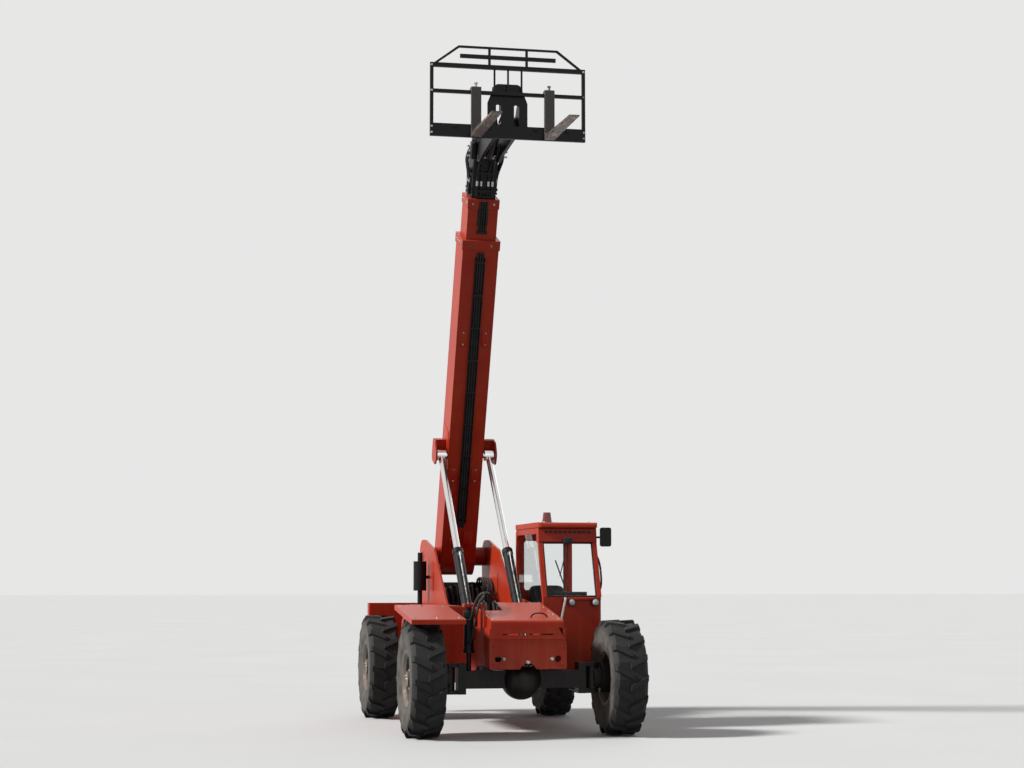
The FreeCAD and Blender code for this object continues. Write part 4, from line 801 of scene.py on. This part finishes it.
bank_low, bank_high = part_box("valve_block")
bank_hoses = []
for i in range(9):
    x = -0.28 + 0.07 * i
    rise = 0.055 + 0.02 * (i % 3)
    bank_hoses.append([
        Vector((x, bank_low.y + 0.09, bank_high.z - 0.02)), Vector((x, bank_low.y + 0.08, bank_high.z + rise)),
        Vector((0.96 * x, bank_low.y - 0.06, bank_high.z + rise + 0.02)), Vector((0.9 * x, bank_low.y - 0.16, bank_high.z - 0.08)),
        Vector((0.8 * x, bank_low.y - 0.26, bank_low.z - 0.10)), Vector((0.7 * x, bank_low.y - 0.46, 0.80)),
        Vector((0.6 * x, bank_low.y - 0.62, 0.62)),
    ])
for side in (-1, 1):
    for i in range(4):
        x = side * (0.268 + 0.031 * i)
        bank_hoses.append([
            Vector((x, bank_high.y - 0.06, bank_high.z - 0.02)), Vector((x, bank_high.y - 0.03, bank_high.z + 0.10)),
            Vector((x, bank_high.y + 0.16, bank_high.z + 0.20)), Vector((x, 2.02, 1.72)), Vector((x, 2.14, 1.66)),
            Vector((x, 2.16, 1.40)),
        ])
pipes("valve_hoses", bank_hoses, 0.014, hose_rubber, "chassis")
print("valve hoses", len(bank_hoses))
print("deck slope", round(deck_rise, 3))

# %% [markdown]
# Behind the hoses a black oil tank stands on the counterweight, between the tower plates, low enough for
# the boom's foot to turn above it. It is pressed from plate, so its edges are generously round, and two
# straps hold it.

# %% Oil tank
rear_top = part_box("counterweight")[1].z
tank_height = 0.27
tank_middle = Vector((0.0, boom_pivot.y + 0.095, rear_top + tank_height / 2 - 0.004))
boxes("oil_tank", [(tank_middle, (0.74, 0.16, tank_height))], black_enamel, "chassis", 0.022)
straps = [(tank_middle + Vector((x, 0.0, 0.0)), (0.035, 0.168, tank_height + 0.006)) for x in (-0.24, 0.24)]
boxes("tank_straps", straps, black_enamel, "chassis", 0.003)
cap_foot = tank_middle + Vector((-0.31, 0.0, tank_height / 2 - 0.004))
cap = ((0.0, 0.026), (0.012, 0.026), (0.014, 0.034), (0.032, 0.034), (0.036, 0.028))
lathe("tank_cap", [(cap_foot, Z, cap)], steel_bolts, "chassis", 16)
print("oil tank top at", round(tank_middle.z + tank_height / 2, 3))

# %% [markdown]
# The boom's own frame of reference makes its pieces easy to place: a distance along it, a height over
# its middle line and a distance to the left. The slide joint in the record already points along it.

# %% Boom: pads, hoses and clamps
boom_way = next(Vector(joint["axis"]) for joint in frame["joints"] if joint["name"] == "boom_extend")
boom_up = boom_way.cross(X)
if boom_up.z < 0:
    boom_up = -boom_up
boom_turn = Matrix((-X, boom_way, boom_up)).transposed()


def on_boom(along, up, x):
    return boom_pivot + along * boom_way + up * boom_up + x * X


collars = (
    ("boom_outer", 4.19, 0.237, 0.262),
    ("boom_mid", 4.70, 0.1975, 0.220),
)
for body, along, half_width, half_depth in collars:
    for side in (-1, 1):
        rows = [on_boom(along, up, side * half_width) for up in (-0.14, -0.05, 0.05, 0.14)]
        bolts(f"{body}_pad_bolts_side_{side + 1}", rows, side * X, 0.024, steel_bolts, body)
        rows = [on_boom(along, side * half_depth, x) for x in (-0.13, 0.13)]
        bolts(f"{body}_pad_bolts_face_{side + 1}", rows, side * boom_up, 0.024, steel_bolts, body)
tray_bottom = -0.25
tray_hoses = [-0.032, 0.0, 0.032]
pipes(
    "tray_hoses",
    [[on_boom(0.50, tray_bottom - 0.016, x), on_boom(2.3, tray_bottom - 0.017, x), on_boom(4.10, tray_bottom - 0.016, x)] for x in tray_hoses],
    0.013, hose_rubber, "boom_outer",
)
clamps = [(on_boom(0.62 + 0.42 * i, tray_bottom - 0.034, 0.0), (0.112, 0.035, 0.006)) for i in range(9)]
boxes("tray_clamps", clamps, black_enamel, "boom_outer", 0.002, boom_turn)
guide = [(on_boom(4.56, -0.213, 0.0), (0.13, 0.26, 0.010)), (on_boom(4.345, -0.222, 0.0), (0.13, 0.026, 0.040))]
boxes("mid_hose_guide", guide, black_enamel, "boom_mid", 0.002, boom_turn)
mid_hoses = [
    [on_boom(4.34, -0.225, x), on_boom(4.45, -0.232, x), on_boom(4.62, -0.232, x), on_boom(4.74, -0.236, x)]
    for x in (-0.042, -0.014, 0.014, 0.042)
]
pipes("mid_hoses", mid_hoses, 0.011, hose_rubber, "boom_mid")
foot_block = [(on_boom(0.36, -0.27, 0.10), (0.11, 0.16, 0.05)), (on_boom(0.30, -0.262, -0.09), (0.08, 0.10, 0.03))]
boxes("boom_foot_brackets", foot_block, body_enamel, "boom_outer", 0.006, boom_turn)
doublers = [(on_boom(1.45, -0.02, side * 0.2265), (0.010, 0.62, 0.34)) for side in (-1, 1)]
boxes("boom_doublers", doublers, body_enamel, "boom_outer", 0.003, boom_turn)
covers = [(on_boom(along, -0.252, 0.14 * side), (0.10, 0.20, 0.010)) for along in (1.2, 3.0) for side in (-1, 1)]
boxes("boom_covers", covers, body_enamel, "boom_outer", 0.003, boom_turn)
bolts(
    "boom_cover_bolts",
    [on_boom(along + end, -0.257, 0.14 * side) for along in (1.2, 3.0) for side in (-1, 1) for end in (-0.075, 0.075)],
    -boom_up, 0.018, steel_bolts, "boom_outer",
)
print("boom leans back", round(90 - math.degrees(math.asin(boom_way.z)), 1), "degrees")

# %% [markdown]
# At the top the hoses leave the tray, follow the black fly section and feed the tilt cylinder. They are
# clamped to the section all the way, so they ride on it like any rigid pipe.

# %% Hoses and fittings on the fly section and the head
fly_half = 0.150
fly_face = -0.170
inner_hose = 0.078
pipes(
    "fly_hoses",
    [
        [
            on_boom(4.78, fly_face - 0.015, side * x), on_boom(5.00, fly_face - 0.016, side * x),
            on_boom(5.16, fly_face - 0.030, side * x), on_boom(5.27, fly_face - bulge, side * inner_hose),
            on_boom(5.34, -0.45, side * inner_hose), on_boom(5.50, -0.60, side * inner_hose),
        ]
        for side in (-1, 1) for x, bulge in ((0.045, 0.10), (0.095, 0.16))
    ],
    0.012, hose_rubber, "boom_fly",
)
pipes(
    "fly_side_pipes",
    [
        [
            on_boom(4.80, up, side * (fly_half + 0.018)), on_boom(5.00, up, side * (fly_half + 0.018)),
            on_boom(5.12, up - 0.02, side * (fly_half + 0.045)), on_boom(5.24, up - 0.06, side * (fly_half + 0.075)),
            on_boom(5.38, up - 0.14, side * (fly_half + 0.040)), on_boom(5.60, up - 0.35, side * (fly_half + 0.004)),
            on_boom(5.68, up - 0.55, side * (fly_half - 0.004)),
        ]
        for side in (-1, 1) for up in (-0.06, 0.0, 0.06)
    ],
    0.012, hose_rubber, "boom_fly",
)
ferrule = ((-0.032, 0.012), (-0.030, 0.0165), (0.030, 0.0165), (0.032, 0.012))
ferrules = [(on_boom(4.95, fly_face - 0.016, side * x), boom_way, ferrule) for side in (-1, 1) for x in (0.045, 0.095)]
ferrules += [(on_boom(4.97, up, side * (fly_half + 0.018)), boom_way, ferrule) for side in (-1, 1) for up in (-0.06, 0.0, 0.06)]
lathe("fly_ferrules", ferrules, steel_bolts, "boom_fly", 16)
fly_clamps = [(on_boom(along, 0.0, side * (fly_half + 0.016)), (0.040, 0.03, 0.19)) for side in (-1, 1) for along in (4.86, 5.08)]
fly_clamps += [(on_boom(along, fly_face - 0.016, 0.0), (0.24, 0.03, 0.04)) for along in (4.86, 5.08)]
boxes("fly_clamps", fly_clamps, black_enamel, "boom_fly", 0.004, boom_turn)
bulkheads = [(on_boom(4.79, fly_face - 0.014, 0.0), (0.24, 0.024, 0.038))]
bulkheads += [(on_boom(4.81, 0.0, side * (fly_half + 0.017)), (0.036, 0.024, 0.17)) for side in (-1, 1)]
boxes("fly_bulkheads", bulkheads, black_enamel, "boom_fly", 0.003, boom_turn)
boxes(
    "head_valve_block",
    [(on_boom(5.36, -0.20, -0.17), (0.07, 0.20, 0.14)), (on_boom(5.34, -0.22, 0.17), (0.06, 0.12, 0.10))],
    black_enamel, "boom_fly", 0.006, boom_turn,
)
head_ports = []
for side in (-1, 1):
    for along in (5.29, 5.35, 5.41):
        head_ports.append((on_boom(along, -0.20, side * 0.20), side * X, ((-0.01, 0.018), (0.02, 0.018), (0.02, 0.012), (0.05, 0.012))))
lathe("head_ports", head_ports, steel_bolts, "boom_fly", 12)
print("ports on the head", len(head_ports))

# %% [markdown]
# The lift cylinders get collar rings, ports and steel feed pipes. The barrels are one body, whose pieces
# run along the line between the lower pin and the rods.

# %% Lift cylinders
lift_way = next(Vector(joint["axis"]) for joint in frame["joints"] if joint["name"] == "lift_rod_slide")
over_barrel = -lift_way.cross(X)
barrel_length = 1.85
barrel_inside = 0.056
lift_x = 0.305
collars_of_barrels = []
ports_of_barrels = []
for side in (-1, 1):
    base = Vector((side * lift_x, lift_pin.y, lift_pin.z))
    for along in (0.16, 0.62, 1.10):
        ring = ((0, barrel_inside), (0.002, 0.065), (0.022, 0.065), (0.024, barrel_inside))
        collars_of_barrels.append((base + along * lift_way, lift_way, ring))
    port = ((0.056, 0.024), (0.085, 0.024), (0.085, 0.015), (0.11, 0.015))
    ports_of_barrels.append((base + (barrel_length - 0.13) * lift_way, over_barrel, port))
lathe("barrel_rings", collars_of_barrels, black_enamel, "lift_barrels", hollow=True)
lathe("barrel_ports", ports_of_barrels, steel_bolts, "lift_barrels", 12)
feed = []
for side in (-1, 1):
    base = Vector((side * lift_x, lift_pin.y, lift_pin.z))
    feed.append([base + along * lift_way + height * over_barrel for along, height in
                 ((0.14, 0.066), (0.20, 0.080), (1.0, 0.080), (barrel_length - 0.20, 0.080), (barrel_length - 0.13, 0.105))])
pipes("barrel_feed_pipes", feed, 0.009, steel_bolts, "lift_barrels")
print("lift cylinders lean", round(math.degrees(math.asin(lift_way.z)), 1), "degrees")

# %% [markdown]
# The forks hang on hooks that a spring pin locks, and the guard's bars are bolted at their ends.

# %% Carriage trim
frame_low, frame_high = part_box("carriage_frame")
for side in ("right", "left"):
    low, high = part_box(f"fork_{side}")
    spot = Vector(((low.x + high.x) / 2, high.y - 0.065, high.z))
    lathe(
        f"fork_latch_{side}",
        [(spot, Z, ((-0.01, 0.016), (0.035, 0.016), (0.040, 0.022), (0.055, 0.022), (0.058, 0.010)))],
        steel_bolts, "carriage", 16,
    )
ends = [Vector((side * 0.896, frame_low.y, frame_low.z + z)) for side in (-1, 1) for z in (0.04, 0.11, 0.53, 0.83)]
bolts("carriage_bolts", ends, -Y, 0.022, steel_bolts, "carriage")
stops = [(Vector((x, frame_low.y - 0.006, frame_low.z + 0.122)), (0.05, 0.016, 0.05)) for x in (-0.62, -0.22, 0.32, 0.70)]
boxes("fork_stops", stops, black_enamel, "carriage", 0.003)
print("fork stops", len(stops))

# %% [markdown]
# The cab's panes sit in rubber seals, so each seal follows its pane's outline. The windscreen leans back
# by a given slope, and its outline is taken from the cab frame's box. Wiper, handles, lamps and mirror glass come after
# it.

# %% Cab trim
cab_low, cab_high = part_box("cab_frame")
tub_low, tub_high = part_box("cab_tub")
sill = tub_high.z
lean = 0.3625
post_x = 0.05
screen_top = cab_high.z - 0.17


def on_screen(x, z, out=0.0):
    """A place on the windscreen's outer face."""
    return Vector((x, cab_low.y + 0.025 + lean * (z - sill) - out, z))


def rounded_loop(corners, radius):
    """Points round a loop of corners, with two close points at each so that the bend is tight."""
    route = []
    for i, corner in enumerate(corners):
        back = (corners[i - 1] - corner).normalized()
        on = (corners[(i + 1) % len(corners)] - corner).normalized()
        route += [corner + back * radius, corner, corner + on * radius]
    return route


inner_left = cab_low.x + post_x
outer_left = cab_high.x - post_x
screen_loop = rounded_loop(
    [
        on_screen(inner_left + 0.006, sill + 0.008), on_screen(outer_left - 0.006, sill + 0.008),
        on_screen(outer_left - 0.006, screen_top - 0.008), on_screen(inner_left + 0.006, screen_top - 0.008),
    ],
    0.03,
)
rear_y = cab_high.y - 0.022
rear_loop = rounded_loop(
    [
        Vector((cab_low.x + 0.092, rear_y, sill + 0.062)), Vector((cab_high.x - 0.092, rear_y, sill + 0.062)),
        Vector((cab_high.x - 0.092, rear_y, cab_high.z - 0.122)), Vector((cab_low.x + 0.092, rear_y, cab_high.z - 0.122)),
    ],
    0.07,
)
pipes("window_seals", [screen_loop, rear_loop], 0.011, hose_rubber, "chassis", True)

wiper_pivot = on_screen(0.78, screen_top - 0.02, 0.03)
wiper_tip = on_screen(0.66, sill + 0.24, 0.02)
pipes("wiper_arm", [[wiper_pivot, (wiper_pivot + wiper_tip) / 2 + Vector((0, -0.012, 0)), wiper_tip]], 0.006, black_enamel, "chassis")
pipes("wiper_blade", [[on_screen(0.625, sill + 0.42, 0.008), on_screen(0.675, sill + 0.24, 0.008), on_screen(0.725, sill + 0.06, 0.008)]], 0.008, hose_rubber, "chassis")
boxes("wiper_motor", [(on_screen(0.78, screen_top + 0.02, 0.06), (0.10, 0.05, 0.07))], cab_plastic, "chassis", 0.008)

handle_foot = Vector((0.605, tub_low.y - 0.05, 1.07))
handle_top = Vector((0.695, tub_low.y - 0.05, 1.49))
handle_lean = Vector((0.0, 0.052, 0.0))
pipes(
    "front_grab_handle",
    [[handle_foot + handle_lean, handle_foot, handle_foot + (handle_top - handle_foot) * 0.06, handle_top - (handle_top - handle_foot) * 0.06, handle_top, handle_top + handle_lean]],
    0.014, greased_steel, "chassis",
)
boxes("front_cowl_edge", [(Vector((0.93, tub_low.y - 0.008, sill - 0.02)), (0.38, 0.03, 0.035))], body_enamel, "chassis", 0.008)
lamp_places = [Vector((x, tub_low.y - 0.002, sill - 0.06)) for x in (0.77, 1.05)]
lathe(
    "front_lamp_cups",
    [(spot, -Y, ((0.0, 0.040), (0.030, 0.044), (0.042, 0.044), (0.044, 0.038))) for spot in lamp_places],
    black_enamel, "chassis",
)
lathe(
    "front_lamp_lenses",
    [(spot - Y * 0.040, -Y, ((0.0, 0.037), (0.008, 0.034), (0.014, 0.022), (0.017, 0.006))) for spot in lamp_places],
    clear_lens, "chassis",
)
roof_low, roof_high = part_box("cab_roof")
roof_bolts = [
    Vector((x, y, roof_high.z)) for x in (roof_low.x + 0.09, roof_high.x - 0.09) for y in (roof_low.y + 0.10, (roof_low.y + roof_high.y) / 2, roof_high.y - 0.10)
]
bolts("roof_bolts", roof_bolts, Z, 0.024, steel_bolts, "chassis")
visor_face = roof_low.y + 0.030
slots = [(Vector((cab_low.x + 0.09 + 0.0568 * i, visor_face, cab_high.z - 0.050)), (0.034, 0.008, 0.026)) for i in range(10)]
boxes("visor_slots", slots, cab_plastic, "chassis", 0.002)
beacon_middle = middle("beacon")
lathe(
    "beacon_ring",
    [(Vector((beacon_middle.x, beacon_middle.y, roof_high.z)), Z, ((0.0, 0.078), (0.012, 0.078), (0.020, 0.072), (0.034, 0.071)))],
    black_enamel, "chassis",
)

mirror_low, mirror_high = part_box("mirror")
boxes(
    "mirror_glass",
    [(Vector((mirror_high.x - 0.065, mirror_low.y + 0.0365, (mirror_low.z + mirror_high.z) / 2)), (0.105, 0.004, 0.19))],
    hard_chrome, "chassis", 0.001,
)

door_low, door_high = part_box("cab_door")
door_face = tub_high.x - 0.014
pipes(
    "door_handle",
    [[
        Vector((door_face - 0.006, door_low.y + 0.12, 1.36)), Vector((door_face + 0.040, door_low.y + 0.12, 1.36)),
        Vector((door_face + 0.040, door_low.y + 0.28, 1.36)), Vector((door_face - 0.006, door_low.y + 0.28, 1.36)),
    ]],
    0.009, black_enamel, "cab_door",
)
pipes(
    "door_post_handle",
    [[
        Vector((cab_high.x - 0.01, cab_low.y + 0.15, 1.56)), Vector((cab_high.x + 0.05, cab_low.y + 0.15, 1.57)),
        Vector((cab_high.x + 0.05, cab_low.y + 0.30, 1.98)), Vector((cab_high.x - 0.01, cab_low.y + 0.30, 1.99)),
    ]],
    0.012, black_enamel, "chassis",
)
pipes(
    "levers",
    [
        [Vector((0.53 + 0.05 * i, tub_low.y + 0.70, tub_low.z + 0.02)), Vector((0.53 + 0.05 * i, tub_low.y + 0.71, 1.15)), Vector((0.53 + 0.05 * i, tub_low.y + 0.67, 1.32))]
        for i in range(3)
    ],
    0.008, black_enamel, "chassis",
)
knobs = [(Vector((0.53 + 0.05 * i, tub_low.y + 0.67, 1.31)), Z, ((0.0, 0.010), (0.012, 0.020), (0.036, 0.020), (0.046, 0.010))) for i in range(3)]
lathe("lever_knobs", knobs, cab_plastic, "chassis", 16)
print("sill of the cab at", round(sill, 3), "m")

# %% [markdown]
# The driver sits on a padded seat. A pad is a box that has been blown up: its faces crown, its edges are
# round, and sewn channels draw it in. We make a fine grid in that shape and press the channels into it with
# a smooth dip. The solid seat is hidden, so its stand is made too.

# %% Seat
seat_low, seat_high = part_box("seat")
seat_middle = (seat_low.x + seat_high.x) / 2
cushion_low = 0.95
cushion_high = 1.06
back_depth = 0.10


def pad(name, low, high, face, channels, dip, taper=0.0):
    """A padded block: face is the axis that it crowns along, channels are places across it from -1 to 1."""
    centre = (low + high) / 2
    half = (high - low) / 2
    shape = bmesh.new()
    bmesh.ops.create_cube(shape, size=2.0)
    bmesh.ops.subdivide_edges(shape, edges=shape.edges[:], cuts=31, use_grid_fill=True)
    other = 2 if face == 1 else 1
    for vert in shape.verts:
        spot = vert.co.copy()
        size = (abs(spot.x) ** 7 + abs(spot.y) ** 7 + abs(spot.z) ** 7) ** (1 / 7)
        spot /= size
        press = 0.0
        if abs(vert.co[face]) > 0.999:
            for channel in channels:
                press += math.exp(-((spot[other] - channel) / 0.035) ** 2)
            press *= 1.0 - max(0.0, abs(spot.x) - 0.55) / 0.45
            bolster = max(0.0, min(1.0, (abs(spot.x) - 0.55) / 0.25))
            bolster *= max(0.0, 1.0 - ((abs(spot.x) - 0.8) / 0.22) ** 2) if abs(spot.x) > 0.8 else 1.0
            spot[face] *= 1.0 - dip * (0.9 - bolster * 0.9) - dip * 0.9 * press
        if taper:
            spot.x *= 1.0 - taper * (spot.z + 1.0) / 2.0
        vert.co = Vector([centre[i] + half[i] * spot[i] for i in range(3)])
    mesh = bpy.data.meshes.new(name)
    shape.to_mesh(mesh)
    shape.free()
    piece = finished(name, mesh, seat_vinyl, "chassis")
    return piece


cushion = pad(
    "seat_cushion",
    Vector((seat_low.x + 0.004, seat_low.y + 0.004, cushion_low + 0.002)), Vector((seat_high.x - 0.004, seat_low.y + 0.392, cushion_high)),
    2, (-0.35, 0.15, 0.62), 0.10,
)
backrest = pad(
    "seat_backrest",
    Vector((seat_low.x + 0.014, seat_high.y - back_depth, cushion_low + 0.08)), Vector((seat_high.x - 0.014, seat_high.y, seat_high.z)),
    1, (-0.5, -0.05, 0.4), 0.12, 0.06,
)
stand_parts = [
    (Vector((seat_middle, seat_low.y + 0.23, 0.66)), (0.34, 0.34, 0.03)),
    (Vector((seat_middle, seat_low.y + 0.23, 0.93)), (0.40, 0.38, 0.035)),
]
stand_parts += [(Vector((seat_middle, seat_low.y + 0.23, 0.695 + 0.036 * i)), (0.30 + 0.03 * (i % 2), 0.30 + 0.03 * (i % 2), 0.034)) for i in range(7)]
stand = boxes("seat_stand", stand_parts, cab_plastic, "chassis", 0.006)
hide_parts("seat")
print("seat from", round(seat_low.z, 3), "to", round(seat_high.z, 3), "m")

# %% [markdown]
# Last come the pod's latches, the fender's bolts, the keepers that stop the pivot pin from turning, and
# the lamps at the tail.

# %% Pod, fender, tower and tail
hood_low, hood_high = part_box("engine_hood")
latches = []
for along in (0.25, hood_high.y - hood_low.y - 0.25):
    latches.append((Vector((hood_low.x - 0.004, hood_low.y + along, hood_low.z + 0.02)), (0.016, 0.05, 0.06)))
boxes("hood_latches", latches, black_enamel, "engine_hood", 0.004)
pod_low, pod_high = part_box("engine_pod")
pod_bolts = [Vector((pod_low.x, pod_low.y + 0.10 + 0.27 * i, 1.12)) for i in range(6)]
bolts("pod_bolts", pod_bolts, -X, 0.018, steel_bolts, "chassis")

fender_low, fender_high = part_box("front_fender")
fender_rise = 0.140 / 1.245
fender_bolts = []
for x in (-0.76, -1.0, -1.24):
    for along in (0.10, 1.10):
        fender_bolts.append(Vector((x, fender_low.y + along, 1.278 + fender_rise * along)))
bolts("fender_bolts", fender_bolts, Z, 0.018, steel_bolts, "chassis")

pin_low, pin_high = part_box("boom_pivot_pin")
rail_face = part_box("frame_left")[1].x
for side, face in ((-1, pin_low.x), (1, pin_high.x)):
    keeper = Vector((side * (rail_face + 0.006), boom_pivot.y, boom_pivot.z - 0.090))
    boxes(f"pin_keeper_{side + 1}", [(keeper, (0.014, 0.17, 0.055))], steel_bolts, "chassis", 0.002)
    spots = [keeper + Vector((side * 0.007, shift, 0)) for shift in (-0.06, 0.06)]
    bolts(f"keeper_bolts_{side + 1}", spots, side * X, 0.022, steel_bolts, "chassis")
    lathe(f"pin_nipple_{side + 1}", [(Vector((face, boom_pivot.y, boom_pivot.z)), side * X, ((0, 0.010), (0.010, 0.010), (0.010, 0.005), (0.024, 0.005)))], greased_steel, "chassis", 12)

weight_low, weight_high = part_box("counterweight")
tail_lamps = [Vector((side * 0.84, weight_high.y, 1.22)) for side in (-1, 1)]
boxes("tail_lamp_housings", [(spot + Y * 0.012, (0.16, 0.034, 0.10)) for spot in tail_lamps], black_enamel, "chassis", 0.006)
boxes("tail_lamp_lenses", [(spot + Y * 0.031, (0.14, 0.012, 0.08)) for spot in tail_lamps], red_lens, "chassis", 0.004)
hitch = Vector((0.0, weight_high.y, 0.92))
boxes("tow_lugs", [(hitch + Vector((0, 0.0, dz)), (0.16, 0.06, 0.022)) for dz in (-0.05, 0.05)], body_enamel, "chassis", 0.004)

# %% [markdown]
# The last cell sets the colour view to Standard and brings the scene up to date.

# %% Colour view
bpy.context.scene.view_settings.view_transform = "Standard"
bpy.context.view_layer.update()
